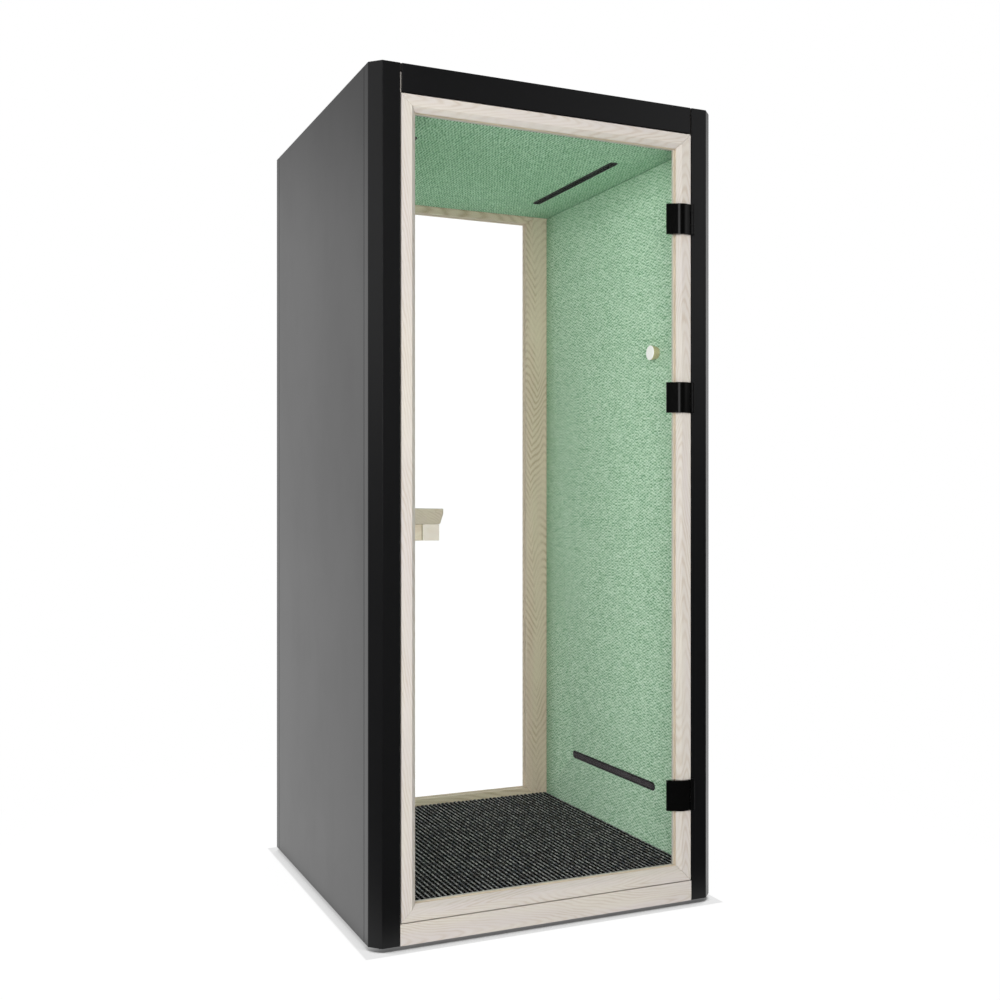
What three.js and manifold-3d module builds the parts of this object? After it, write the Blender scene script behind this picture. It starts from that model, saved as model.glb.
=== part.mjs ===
// Acoustic office pod: a one-person booth with black corner posts, fabric-lined walls,
// a glazed wooden door on three hinges, a fixed rear window, a wall desk and roof fans.
// Millimetres, +Z up. The origin is on the floor under the middle of the pod,
// -Y is the door side and +X is the hinge side.
import * as THREE from "three";
import { mergeVertices } from "three/addons/utils/BufferGeometryUtils.js";
import Module from "manifold-3d";

const wasm = await Module();
wasm.setup();

// Whole pod
const WIDTH = 1000;
const DEPTH = 1000;
const HEIGHT = 2200;
const FIT = 0.3; // gap between two pieces that bear on each other

// Floor runners and corner posts
const RUNNER_HEIGHT = 10;
const RUNNER_WIDTH = 40;
const RUNNER_INSET = 30; // outer faces of the pod to the runner
const POST_WIDTH = 75;
const POST_DEPTH = 60;
const POST_CHAMFER = 28;

// Walls, from outside to inside
const PANEL_THICK = 15;
const CORE_THICK = 28;
const LINING_THICK = 20;

// Floor, roof and the bands above and below the door
const DECK_THICK = 86;
const CARPET_THICK = 8.7;
const ROOF_STEP = 10; // the roof lies this far below the post tops
const ROOF_THICK = 16;
const VOID_HEIGHT = 62; // space for the fans, between ceiling and roof
const CEILING_THICK = 20;
const FASCIA_HEIGHT = 72;
const FASCIA_THICK = 8;
const FASCIA_END_GAP = 4;
const PLINTH_HEIGHT = 54;

// Door leaf: a mitred frame with a flat face and a splayed inner edge
const DOOR_GAP = 3;
const LEAF_THICK = 36;
const LEAF_FLAT = 28;
const LEAF_BEVEL = 12;
const STOP_WIDTH = 25;
const SEAL_GAP = 5; // room between the leaf and its stops
const SEAL_WIDTH = 4.5;
const SEAL_INSET = 1.5;

// Glazing of the door and of the rear window
const PANE_THICK = 8;
const PANE_LAP = 6; // how far a pane reaches behind the sight line
const GASKET_LIP = 3.2;
const GASKET_BASE = 1.2;
const LEAF_REVEAL = 0.8; // wood between the splay and the gasket
const REAR_FLANGE = 7.7; // cover strip in front of the rear posts
const REAR_FACE = 40;
const REAR_BEVEL = 15;
const REAR_REVEAL = 12;

// Door hinges
const HINGE_HEIGHT = 84;
const HINGE_END_RISE = 236; // leaf end to the middle of the nearest hinge
const HINGE_MIDDLE_DROP = 491; // upper hinge to middle hinge
const BARREL_RADIUS = 6;
const BARREL_PLAY = 0.5;
const MIDDLE_KNUCKLE = 36;
const PIN_RADIUS = 2.5;
const PIN_PLAY = 0.1;
const PIN_HEAD_RADIUS = 4.2;
const PIN_HEAD_THICK = 2;
const STRAP_LAP = 29; // how far a strap reaches over the pane
const STRAP_PROUD = 11;
const STRAP_TOE = 4;
const STRAP_RIDGE_INSET = 3;
const STRAP_HEEL = 6;
const STRAP_ROUNDING = 16;
const HINGE_PLATE_DEPTH = 28;

// Door catch
const CATCH_RISE = 1010; // leaf bottom to the middle of the catch
const CATCH_LENGTH = 70;
const CATCH_WIDTH = 12;
const CATCH_EDGE = 3;
const CATCH_AIR = 0.5;
const STRIKE_THICK = 1.6;

// Air slots and their grilles
const WALL_SLOT_LENGTH = 510;
const WALL_SLOT_WIDTH = 19.5;
const WALL_SLOT_Y = -30;
const WALL_SLOT_Z = 275;
const CEILING_SLOT_LENGTH = 526;
const CEILING_SLOT_WIDTH = 22;
const CEILING_SLOT_X = 309;
const CEILING_SLOT_Y = -12;
const GRILLE_FLANGE = 1.5;
const GRILLE_LIP = 2.5;
const GRILLE_RIM = 2.5;
const GRILLE_RIB = 2;
const GRILLE_CELLS = 8;
const DUCT_DEPTH = 14; // air channel in the wall core
const DUCT_MARGIN = 4;

// Fans
const PLENUM_HEIGHT = 36;
const PLENUM_WIDTH = 124;
const PLENUM_MARGIN = 8;
const PLENUM_WALL = 3;
const FAN_RADIUS = 53;
const FAN_TIP_GAP = 3;
const FAN_HUB = 18;
const FAN_BLADES = 7;
const BLADE_CHORD = 20;
const BLADE_THICK = 2;
const BLADE_PITCH = 0.6; // radians
const FAN_STRUT = 6;
const FAN_STRUT_THICK = 4;
const FAN_AXIAL_GAP = 2;
const FAN_SHAFT_RADIUS = 2;
const FAN_SHAFT_PLAY = 0.1;
const ROOF_SLOTS = 5;
const ROOF_SLOT_WIDTH = 9;
const ROOF_SLOT_LENGTH = 88;
const ROOF_SLOT_PITCH = 18;
const DRIVER_LENGTH = 120;
const DRIVER_WIDTH = 62;
const DRIVER_HEIGHT = 32;
const DRIVER_Y = 150;
const INLET_Y = 330;
const INLET_RADIUS = 12;
const INLET_HEIGHT = 8;
const INLET_STEM_RADIUS = 8;
const INLET_NUT_HEIGHT = 6;

// Desk on the left wall and peg on the right wall
const DESK_HEIGHT = 1091;
const DESK_THICK = 44;
const DESK_REACH = 286; // wall to free edge
const DESK_LENGTH = 526;
const DESK_REAR_GAP = 0.5;
const DESK_UNDERCUT = 7;
const DESK_EDGE = 14; // upright part of the edge
const DESK_CORNER = 8;
const BEAM_WIDTH = 51;
const BEAM_HEIGHT = 47;
const BEAM_INSET = 12; // free edge to beam
const BEAM_END = 6;
const BRACKET_OFFSET = 18; // beam end to the middle of a bracket arm
const BRACKET_ARM = 22;
const BRACKET_PLATE = 12;
const BRACKET_PLATE_WIDTH = 44;
const BRACKET_PLATE_DROP = 70;
const PEG_SETBACK = 143; // behind the front posts
const PEG_Z = 1545;
const PEG_RADIUS = 21.5;
const PEG_NECK = 17.5;
const PEG_LENGTH = 24;
const PEG_RIM = 3;
const PEG_EDGE = 1.5;
const PEG_DOWEL_RADIUS = 5;
const PEG_DOWEL_LENGTH = 12;

// How finely round pieces are faceted, and how close two corners count as one
const ROUND_SIDES = 24;
const NUT_SIDES = 6;
const ARC_STEPS = 6;
const WELD = 1e-4;

// Levels and planes that several pieces share
const halfWidth = WIDTH / 2;
const front = -DEPTH / 2;
const back = DEPTH / 2;
const openingHalf = halfWidth - POST_WIDTH; // inner faces of the posts
const betweenPosts = openingHalf - FIT;
const frontPostBack = front + POST_DEPTH;
const rearPostFront = back - POST_DEPTH;
const panelInner = halfWidth - PANEL_THICK;
const coreOuter = panelInner - FIT;
const coreInner = coreOuter - CORE_THICK;
const liningOuter = coreInner - FIT;
const wallFace = liningOuter - LINING_THICK;
const pegY = frontPostBack + PEG_SETBACK;
const rearFace = rearPostFront - FIT - REAR_FLANGE;

const deckTop = RUNNER_HEIGHT + DECK_THICK;
const carpetTop = deckTop + FIT + CARPET_THICK;
const roofTop = HEIGHT - ROOF_STEP;
const roofUnder = roofTop - ROOF_THICK;
const ceilingTop = roofUnder - VOID_HEIGHT;
const ceilingUnder = ceilingTop - CEILING_THICK;
const fasciaUnder = HEIGHT - FASCIA_HEIGHT;
const plinthTop = RUNNER_HEIGHT + PLINTH_HEIGHT;

const leafHalf = openingHalf - DOOR_GAP;
const leafBottom = plinthTop + DOOR_GAP;
const leafTop = fasciaUnder - DOOR_GAP;
const leafBack = front + LEAF_THICK;
const stopFront = leafBack + SEAL_GAP;
const stopInner = openingHalf - STOP_WIDTH;
const sightWidth = LEAF_FLAT + LEAF_BEVEL; // leaf edge to the visible glass
const sightX = leafHalf - sightWidth;
const paneFront = front + LEAF_BEVEL + LEAF_REVEAL + GASKET_LIP + FIT;

const hingeX = openingHalf - DOOR_GAP / 2;
const hingeY = front - BARREL_RADIUS - BARREL_PLAY;
const hingeHeights = {
  upper: leafTop - HINGE_END_RISE,
  middle: leafTop - HINGE_END_RISE - HINGE_MIDDLE_DROP,
  lower: leafBottom + HINGE_END_RISE,
};

// Finishes
function finish(color, roughness, metalness = 0) {
  return new THREE.MeshStandardMaterial({ color, roughness, metalness });
}
const lacquer = finish(0x191a1b, 0.4);
const wood = finish(0xddd3c4, 0.55);
const board = finish(0xb99f7c, 0.7);
const fabric = finish(0x8cc09c, 0.95);
const wool = finish(0x8b8774, 1);
const carpetPile = finish(0x26282b, 1);
const rubber = finish(0x2b2119, 0.8);
const hingeBlack = finish(0x0b0b0c, 0.25, 0.6);
const steel = finish(0xb4b6b8, 0.35, 1);
const plastic = finish(0x141416, 0.5);
const glass = new THREE.MeshStandardMaterial({
  color: 0xf2f7f5,
  roughness: 0.05,
  transparent: true,
  opacity: 0.25,
});

const pod = new THREE.Group();
const cabin = new THREE.Group();
const door = new THREE.Group();
const fans = new THREE.Group();
pod.add(cabin, door, fans);

function place(group, name, geometry, material, position = [0, 0, 0]) {
  const mesh = new THREE.Mesh(geometry, material);
  mesh.name = name;
  mesh.position.set(...position);
  group.add(mesh);
}

// Closed solids for joining and cutting
function solidOf(geometry) {
  const bare = new THREE.BufferGeometry();
  const flat = geometry.index ? geometry.toNonIndexed() : geometry;
  bare.setAttribute("position", flat.getAttribute("position"));
  const merged = mergeVertices(bare, WELD);
  return new wasm.Manifold(
    new wasm.Mesh({
      numProp: 3,
      vertProperties: new Float32Array(merged.getAttribute("position").array),
      triVerts: new Uint32Array(merged.index.array),
    }),
  );
}

function geometryOf(solid) {
  const mesh = solid.getMesh();
  const geometry = new THREE.BufferGeometry();
  const corners = new Float32Array(mesh.vertProperties);
  geometry.setAttribute("position", new THREE.BufferAttribute(corners, 3));
  geometry.setIndex(new THREE.BufferAttribute(new Uint32Array(mesh.triVerts), 1));
  return geometry;
}

function cut(body, ...tools) {
  const rest = tools.reduce((left, tool) => left.subtract(solidOf(tool)), solidOf(body));
  return geometryOf(rest);
}

function join(first, ...others) {
  const sum = others.reduce((left, other) => left.add(solidOf(other)), solidOf(first));
  return geometryOf(sum);
}

// Simple shapes
function block([x0, x1], [y0, y1], [z0, z1]) {
  const box = new THREE.BoxGeometry(x1 - x0, y1 - y0, z1 - z0);
  return box.translate((x0 + x1) / 2, (y0 + y1) / 2, (z0 + z1) / 2);
}

function rod(radius, [z0, z1], sides = ROUND_SIDES) {
  const cylinder = new THREE.CylinderGeometry(radius, radius, z1 - z0, sides);
  return cylinder.rotateX(Math.PI / 2).translate(0, 0, (z0 + z1) / 2);
}

function rodAlongY(radius, [y0, y1]) {
  const cylinder = new THREE.CylinderGeometry(radius, radius, y1 - y0, ROUND_SIDES);
  return cylinder.translate(0, (y0 + y1) / 2, 0);
}

function outline(points) {
  return new THREE.Shape(points.map(([x, y]) => new THREE.Vector2(x, y)));
}

// A shape drawn from above, raised from z0 to z1
function raise(shape, [z0, z1]) {
  const settings = { depth: z1 - z0, bevelEnabled: false, curveSegments: ARC_STEPS };
  return new THREE.ExtrudeGeometry(shape, settings).translate(0, 0, z0);
}

// A shape drawn in Y and Z, carried from x0 to x1
function carryAlongX(shape, [x0, x1]) {
  const turn = new THREE.Matrix4().makeBasis(
    new THREE.Vector3(0, 1, 0),
    new THREE.Vector3(0, 0, 1),
    new THREE.Vector3(1, 0, 0),
  );
  return raise(shape, [x0, x1]).applyMatrix4(turn);
}

// Every corner moved by a rule; a mirroring rule turns the faces round again
function moved(geometry, rule) {
  const bent = geometry.index ? geometry.toNonIndexed() : geometry.clone();
  const corners = bent.getAttribute("position");
  const p = new THREE.Vector3();
  for (let i = 0; i < corners.count; i += 1) {
    p.fromBufferAttribute(corners, i);
    corners.setXYZ(i, ...rule(p.x, p.y, p.z));
  }
  if (signedVolume(corners) < 0) {
    const swap = new THREE.Vector3();
    for (let i = 0; i < corners.count; i += 3) {
      p.fromBufferAttribute(corners, i + 1);
      swap.fromBufferAttribute(corners, i + 2);
      corners.setXYZ(i + 1, swap.x, swap.y, swap.z);
      corners.setXYZ(i + 2, p.x, p.y, p.z);
    }
  }
  return bent;
}

function signedVolume(corners) {
  const [a, b, c] = [new THREE.Vector3(), new THREE.Vector3(), new THREE.Vector3()];
  let sum = 0;
  for (let i = 0; i < corners.count; i += 3) {
    a.fromBufferAttribute(corners, i);
    b.fromBufferAttribute(corners, i + 1);
    c.fromBufferAttribute(corners, i + 2);
    sum += a.dot(b.cross(c)) / 6;
  }
  return sum;
}

// A slot with round ends, its long side along the first axis
function slotShape(length, width) {
  const radius = width / 2;
  const straight = length / 2 - radius;
  const shape = new THREE.Shape();
  shape.absarc(straight, 0, radius, -Math.PI / 2, Math.PI / 2);
  shape.absarc(-straight, 0, radius, Math.PI / 2, Math.PI * 1.5);
  return shape;
}

const sides = { left: -1, right: 1 };
const ends = { front: -1, rear: 1 };

// A span between two distances from the middle, on one side of the pod
function span(sign, near, far) {
  return sign < 0 ? [-far, -near] : [near, far];
}

// Corner posts with a chamfered outer edge; the front pair also carry the door stops
function postShape(sx, sy) {
  const inX = sx * openingHalf;
  const outX = sx * halfWidth;
  const inY = sy * rearPostFront;
  const outY = sy * back;
  const stop = [
    [sx * stopInner, inY],
    [sx * stopInner, stopFront],
    [inX, stopFront],
  ];
  return outline([
    [inX, outY],
    [outX - sx * POST_CHAMFER, outY],
    [outX, outY - sy * POST_CHAMFER],
    [outX, inY],
    ...(sy < 0 ? stop : [[inX, inY]]),
  ]);
}

for (const [end, sy] of Object.entries(ends)) {
  for (const [side, sx] of Object.entries(sides)) {
    const post = raise(postShape(sx, sy), [RUNNER_HEIGHT, HEIGHT]);
    place(cabin, `corner_post_${end}_${side}`, post, lacquer);
  }
}

// Rubber runners that the pod stands on
const runnerOuter = halfWidth - RUNNER_INSET;
const runnerDepth = [front + RUNNER_INSET, back - RUNNER_INSET];
for (const [side, sx] of Object.entries(sides)) {
  const across = span(sx, runnerOuter - RUNNER_WIDTH, runnerOuter);
  const runner = block(across, runnerDepth, [0, RUNNER_HEIGHT - FIT]);
  place(cabin, `floor_runner_${side}`, runner, rubber);
}

// Floor deck and carpet, both with a tongue that reaches between the door stops
function flooring(half, level) {
  const tongueHalf = stopInner - FIT;
  const shoulder = frontPostBack + FIT;
  const end = rearFace - FIT;
  const shape = outline([
    [-tongueHalf, stopFront],
    [tongueHalf, stopFront],
    [tongueHalf, shoulder],
    [half, shoulder],
    [half, end],
    [-half, end],
    [-half, shoulder],
    [-tongueHalf, shoulder],
  ]);
  return raise(shape, level);
}

place(cabin, "base_deck", flooring(liningOuter, [RUNNER_HEIGHT, deckTop]), board);
place(cabin, "carpet", flooring(wallFace - FIT, [deckTop + FIT, carpetTop]), carpetPile);

// Grille for an air slot: a flange on the lining, a sleeve in the slot and rows of cells.
// It is drawn with its long side along X and the room below it.
function grille(length, width, depth) {
  const lip = 2 * GRILLE_LIP;
  const flange = raise(slotShape(length + lip, width + lip), [-GRILLE_FLANGE - FIT, -FIT]);
  const gap = 2 * FIT;
  const sleeve = raise(slotShape(length - gap, width - gap), [-GRILLE_FLANGE, depth]);
  const inside = length - width - 2 * GRILLE_RIM;
  const cellLength = (inside - (GRILLE_CELLS - 1) * GRILLE_RIB) / GRILLE_CELLS;
  const cellWidth = (width - 2 * GRILLE_RIM - GRILLE_RIB) / 2;
  const cells = [];
  for (let i = 0; i < GRILLE_CELLS; i += 1) {
    const x0 = -inside / 2 + i * (cellLength + GRILLE_RIB);
    for (const sign of [-1, 1]) {
      const across = span(sign, GRILLE_RIB / 2, GRILLE_RIB / 2 + cellWidth);
      cells.push(block([x0, x0 + cellLength], across, [-2 * GRILLE_FLANGE, 2 * depth]));
    }
  }
  return cut(join(flange, sleeve), ...cells);
}

// Side walls: outer panel, acoustic core and fabric lining.
// The right wall also has a low air slot, fed by a channel in the core, and the coat peg.
const fullDepth = [frontPostBack + FIT, rearPostFront - FIT];
const roomDepth = [frontPostBack + FIT, rearFace - FIT];
const ductHalf = WALL_SLOT_LENGTH / 2 + DUCT_MARGIN;
const duct = block(
  [coreInner - FIT, coreInner + DUCT_DEPTH],
  [WALL_SLOT_Y - ductHalf, WALL_SLOT_Y + ductHalf],
  [0, WALL_SLOT_Z + WALL_SLOT_WIDTH / 2 + DUCT_MARGIN],
);
const wallSlot = carryAlongX(slotShape(WALL_SLOT_LENGTH, WALL_SLOT_WIDTH), [0, halfWidth])
  .translate(0, WALL_SLOT_Y, WALL_SLOT_Z);
const pegHole = rodAlongY(PEG_DOWEL_RADIUS + FIT, [-PEG_DOWEL_LENGTH - FIT, FIT])
  .rotateZ(Math.PI / 2)
  .translate(wallFace, pegY, PEG_Z);
for (const [side, sign] of Object.entries(sides)) {
  const panel = block(span(sign, panelInner, halfWidth), fullDepth, [RUNNER_HEIGHT, HEIGHT]);
  place(cabin, `side_panel_${side}`, panel, lacquer);
  const coreRise = [RUNNER_HEIGHT, roofUnder - FIT];
  const core = block(span(sign, coreInner, coreOuter), fullDepth, coreRise);
  place(cabin, `acoustic_core_${side}`, sign > 0 ? cut(core, duct) : core, wool);
  const wallRise = [deckTop + FIT, ceilingUnder - FIT];
  const wall = block(span(sign, wallFace, liningOuter), roomDepth, wallRise);
  const lining = sign > 0 ? cut(wall, wallSlot, pegHole) : wall;
  place(cabin, `wall_lining_${side}`, lining, fabric);
}
const flatGrille = grille(WALL_SLOT_LENGTH, WALL_SLOT_WIDTH, LINING_THICK - FIT);
const wallGrille = moved(flatGrille, (along, across, deep) => [
  wallFace + deep,
  WALL_SLOT_Y + along,
  WALL_SLOT_Z + across,
]);
place(cabin, "wall_grille", wallGrille, plastic);

// Ceiling lining with two air slots, and a grille in each
const ceilingHalf = liningOuter - FIT;
const ceiling = block([-ceilingHalf, ceilingHalf], roomDepth, [ceilingUnder, ceilingTop]);
const ceilingSlotShape = slotShape(CEILING_SLOT_LENGTH, CEILING_SLOT_WIDTH);
const ceilingSlots = Object.values(sides).map((sign) =>
  raise(ceilingSlotShape, [ceilingUnder - FIT, ceilingTop + FIT])
    .rotateZ(Math.PI / 2)
    .translate(sign * CEILING_SLOT_X, CEILING_SLOT_Y, 0),
);
place(cabin, "ceiling_lining", cut(ceiling, ...ceilingSlots), fabric);
const ceilingReach = CEILING_THICK - FIT;
for (const [side, sign] of Object.entries(sides)) {
  const slotGrille = grille(CEILING_SLOT_LENGTH, CEILING_SLOT_WIDTH, ceilingReach);
  slotGrille.rotateZ(Math.PI / 2);
  const spot = [sign * CEILING_SLOT_X, CEILING_SLOT_Y, ceilingUnder];
  place(cabin, `ceiling_grille_${side}`, slotGrille, plastic, spot);
}

// Roof panel, slotted above each fan and bored for the power inlet
const roofTools = [rod(INLET_STEM_RADIUS + FIT, [0, HEIGHT]).translate(0, INLET_Y, 0)];
for (const sign of Object.values(sides)) {
  for (let i = 0; i < ROOF_SLOTS; i += 1) {
    const x = sign * CEILING_SLOT_X + (i - (ROOF_SLOTS - 1) / 2) * ROOF_SLOT_PITCH;
    const across = [x - ROOF_SLOT_WIDTH / 2, x + ROOF_SLOT_WIDTH / 2];
    const along = [CEILING_SLOT_Y - ROOF_SLOT_LENGTH / 2, CEILING_SLOT_Y + ROOF_SLOT_LENGTH / 2];
    roofTools.push(block(across, along, [roofUnder - FIT, HEIGHT]));
  }
}
const roofHalf = panelInner - FIT;
const roof = block([-roofHalf, roofHalf], fullDepth, [roofUnder, roofTop]);
place(cabin, "roof_panel", cut(roof, ...roofTools), lacquer);

// Bands above and below the openings, between the posts
const postToPost = [-betweenPosts, betweenPosts];
const fasciaHalf = openingHalf - FASCIA_END_GAP;
const fasciaDepth = [front, front + FASCIA_THICK];
const fascia = block([-fasciaHalf, fasciaHalf], fasciaDepth, [fasciaUnder, HEIGHT]);
place(cabin, "front_fascia", fascia, lacquer);

const headerDepth = [front + FASCIA_THICK + FIT, stopFront - FIT];
const lipHalf = stopInner - FIT;
const header = join(
  block(postToPost, headerDepth, [fasciaUnder, roofTop]),
  block([-lipHalf, lipHalf], [headerDepth[0], frontPostBack], [fasciaUnder, roofTop]),
  block([-lipHalf, lipHalf], [stopFront, frontPostBack], [ceilingUnder + FIT, roofTop]),
);
place(cabin, "header_board", header, wood);

const frontPlinth = block(postToPost, [front, stopFront - FIT], [RUNNER_HEIGHT, plinthTop]);
place(cabin, "front_plinth", frontPlinth, wood);
const rearBand = [rearPostFront + FIT, back];
place(cabin, "rear_fascia", block(postToPost, rearBand, [fasciaUnder, HEIGHT]), lacquer);
place(cabin, "rear_plinth", block(postToPost, rearBand, [RUNNER_HEIGHT, plinthTop]), wood);

// Rubber seal that runs round the door stops, the header and the deck
const sealInner = stopInner + SEAL_INSET;
const sealOuter = sealInner + SEAL_WIDTH;
const sealFoot = deckTop - SEAL_INSET;
const sealHead = ceilingUnder + FIT + SEAL_INSET;
const sealDepth = [leafBack + FIT, stopFront - FIT];
const seal = cut(
  block([-sealOuter, sealOuter], sealDepth, [sealFoot - SEAL_WIDTH, sealHead + SEAL_WIDTH]),
  block([-sealInner, sealInner], [front, back], [sealFoot, sealHead]),
);
place(cabin, "door_seal", seal, rubber);

// A mitred frame: one section, given as distance in from the outer edge and depth from
// the face, carried round a rectangle and cut at 45 degrees where two members meet
function mitredFrame(section, half, [z0, z1], faceY) {
  const shape = outline(section);
  const member = (length, rule) =>
    moved(raise(shape, [0, length]), (inward, deep, s) => {
      const mitre = inward + FIT;
      return rule(inward, faceY + deep, s < length / 2 ? mitre : length - mitre);
    });
  const tall = z1 - z0;
  const wide = 2 * half;
  return {
    left: member(tall, (inward, y, s) => [-half + inward, y, z0 + s]),
    right: member(tall, (inward, y, s) => [half - inward, y, z0 + s]),
    bottom: member(wide, (inward, y, s) => [-half + s, y, z0 + inward]),
    top: member(wide, (inward, y, s) => [-half + s, y, z1 - inward]),
  };
}

// The glass groove of a section, as corners from its front lip to its back lip
const grooveDepth = PANE_THICK + 2 * (GASKET_LIP + 2 * FIT);
const grooveReach = PANE_LAP + GASKET_BASE + 2 * FIT;
function groove(sight, start) {
  const end = start + grooveDepth;
  return [
    [sight, start],
    [sight - grooveReach, start],
    [sight - grooveReach, end],
    [sight, end],
  ];
}

// A pane and the U-shaped gasket round its edge, for a given visible opening
function glazing(half, [z0, z1], grooveY) {
  const lip = [grooveY + FIT, grooveY + grooveDepth - FIT];
  const paneY = [lip[0] + GASKET_LIP + FIT, lip[1] - GASKET_LIP - FIT];
  const ring = (grow, depth) =>
    block([-half - grow, half + grow], depth, [z0 - grow, z1 + grow]);
  const pocket = [paneY[0] - FIT, paneY[1] + FIT];
  return {
    pane: ring(PANE_LAP, paneY),
    gasket: cut(
      ring(PANE_LAP + FIT + GASKET_BASE, lip),
      ring(0, [front, back]),
      ring(PANE_LAP + FIT, pocket),
    ),
  };
}

// Fixed rear window: splayed on both faces, with a flange that covers the rear posts
const flangeWidth = ceilingHalf - betweenPosts;
const rearDepth = back - rearFace;
const rearSplay = flangeWidth + REAR_FACE;
const rearSight = rearSplay + REAR_BEVEL;
const rearGroove = REAR_BEVEL + REAR_REVEAL;
const rearSection = [
  [0, 0],
  [rearSplay, 0],
  [rearSight, REAR_BEVEL],
  ...groove(rearSight, rearGroove),
  [rearSight, rearDepth - REAR_BEVEL],
  [rearSplay, rearDepth],
  [flangeWidth, rearDepth],
  [flangeWidth, REAR_FLANGE],
  [0, REAR_FLANGE],
];
const rearRise = [plinthTop + FIT - flangeWidth, fasciaUnder - FIT + flangeWidth];
const rearFrame = mitredFrame(rearSection, ceilingHalf, rearRise, rearFace);
place(cabin, "rear_stile_left", rearFrame.left, wood);
place(cabin, "rear_stile_right", rearFrame.right, wood);
place(cabin, "rear_rail_bottom", rearFrame.bottom, wood);
place(cabin, "rear_rail_top", rearFrame.top, wood);
const rearGlazing = glazing(
  ceilingHalf - rearSight,
  [rearRise[0] + rearSight, rearRise[1] - rearSight],
  rearFace + rearGroove,
);
place(cabin, "rear_glass", rearGlazing.pane, glass);
place(cabin, "rear_gasket", rearGlazing.gasket, rubber);

// Door leaf
const leafGroove = LEAF_BEVEL + LEAF_REVEAL;
const leafSection = [
  [0, 0],
  [LEAF_FLAT, 0],
  [sightWidth, LEAF_BEVEL],
  ...groove(sightWidth, leafGroove),
  [sightWidth, LEAF_THICK],
  [0, LEAF_THICK],
];
const leaf = mitredFrame(leafSection, leafHalf, [leafBottom, leafTop], front);
place(door, "door_stile_hinge", leaf.right, wood);
place(door, "door_rail_bottom", leaf.bottom, wood);
place(door, "door_rail_top", leaf.top, wood);

// Magnetic catch: a magnet on the left stop and a steel strike let into the leaf
const catchAcross = [-leafHalf + CATCH_EDGE, -leafHalf + CATCH_EDGE + CATCH_WIDTH];
const catchZ = leafBottom + CATCH_RISE;
const catchRise = [catchZ - CATCH_LENGTH / 2, catchZ + CATCH_LENGTH / 2];
const magnet = block(catchAcross, [leafBack + CATCH_AIR, stopFront - FIT], catchRise);
place(cabin, "catch_magnet", magnet, steel);
const strike = block(catchAcross, [leafBack - STRIKE_THICK, leafBack], catchRise);
place(door, "strike_plate", strike, steel);
const strikeRecess = block(
  catchAcross.map((x, i) => x + (i ? FIT : -FIT)),
  [leafBack - STRIKE_THICK - FIT, leafBack + FIT],
  catchRise.map((z, i) => z + (i ? FIT : -FIT)),
);
place(door, "door_stile_lock", cut(leaf.left, strikeRecess), wood);

// Hinges are drawn round their own axis, with the pod's planes seen from there
const barrelReach = BARREL_RADIUS + 2 * BARREL_PLAY;
const faceY = front - hingeY;
const paneY = paneFront - hingeY - FIT;
const sightAt = sightX - hingeX;
const flatAt = sightAt + LEAF_BEVEL;
const toeAt = sightAt - STRAP_LAP;
const halfHinge = HINGE_HEIGHT / 2;
const halfMiddle = MIDDLE_KNUCKLE / 2;
const bore = rod(PIN_RADIUS + PIN_PLAY, [-HINGE_HEIGHT, HINGE_HEIGHT]);

function strapShape() {
  const heel = new THREE.Vector2(-barrelReach, faceY - FIT - STRAP_HEEL);
  const ridge = new THREE.Vector2(flatAt - STRAP_RIDGE_INSET, faceY - STRAP_PROUD);
  const toe = new THREE.Vector2(toeAt, paneY - STRAP_TOE);
  const before = ridge.clone().add(heel.clone().sub(ridge).setLength(STRAP_ROUNDING));
  const after = ridge.clone().add(toe.clone().sub(ridge).setLength(STRAP_ROUNDING));
  const shape = new THREE.Shape();
  shape.moveTo(toeAt, paneY);
  shape.lineTo(sightAt - FIT, paneY);
  shape.lineTo(sightAt - FIT, faceY + LEAF_BEVEL - 2 * FIT);
  shape.lineTo(flatAt, faceY - FIT);
  shape.lineTo(-barrelReach, faceY - FIT);
  shape.lineTo(heel.x, heel.y);
  shape.lineTo(before.x, before.y);
  shape.quadraticCurveTo(ridge.x, ridge.y, after.x, after.y);
  shape.lineTo(toe.x, toe.y);
  return shape;
}

function hingeStrap() {
  const knuckle = [halfMiddle + BARREL_PLAY, halfHinge];
  const below = [-knuckle[1], -knuckle[0]];
  const neckX = [-barrelReach - BARREL_PLAY, 0];
  const neckY = [faceY - FIT - STRAP_HEEL, faceY - FIT - STRAP_HEEL / 2];
  return cut(
    join(
      raise(strapShape(), [-halfHinge, halfHinge]),
      rod(BARREL_RADIUS, knuckle),
      rod(BARREL_RADIUS, below),
      block(neckX, neckY, knuckle),
      block(neckX, neckY, below),
    ),
    bore,
  );
}

function hingeLeaf() {
  const across = [leafHalf + FIT - hingeX, openingHalf - FIT - hingeX];
  const plateY = [faceY + BARREL_PLAY, faceY + HINGE_PLATE_DEPTH];
  return cut(
    join(
      rod(BARREL_RADIUS, [-halfMiddle, halfMiddle]),
      block(across, [0, faceY + 2 * BARREL_PLAY], [-halfMiddle, halfMiddle]),
      block(across, plateY, [-halfHinge, halfHinge]),
    ),
    bore,
  );
}

function hingePin() {
  const shank = halfHinge + FIT;
  const tip = shank + PIN_HEAD_THICK;
  return join(
    rod(PIN_RADIUS, [-tip, tip]),
    rod(PIN_HEAD_RADIUS, [shank, tip]),
    rod(PIN_HEAD_RADIUS, [-tip, -shank]),
  );
}

for (const [level, z] of Object.entries(hingeHeights)) {
  const spot = [hingeX, hingeY, z];
  place(door, `hinge_strap_${level}`, hingeStrap(), hingeBlack, spot);
  place(cabin, `hinge_leaf_${level}`, hingeLeaf(), hingeBlack, spot);
  place(cabin, `hinge_pin_${level}`, hingePin(), steel, spot);
}

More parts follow.
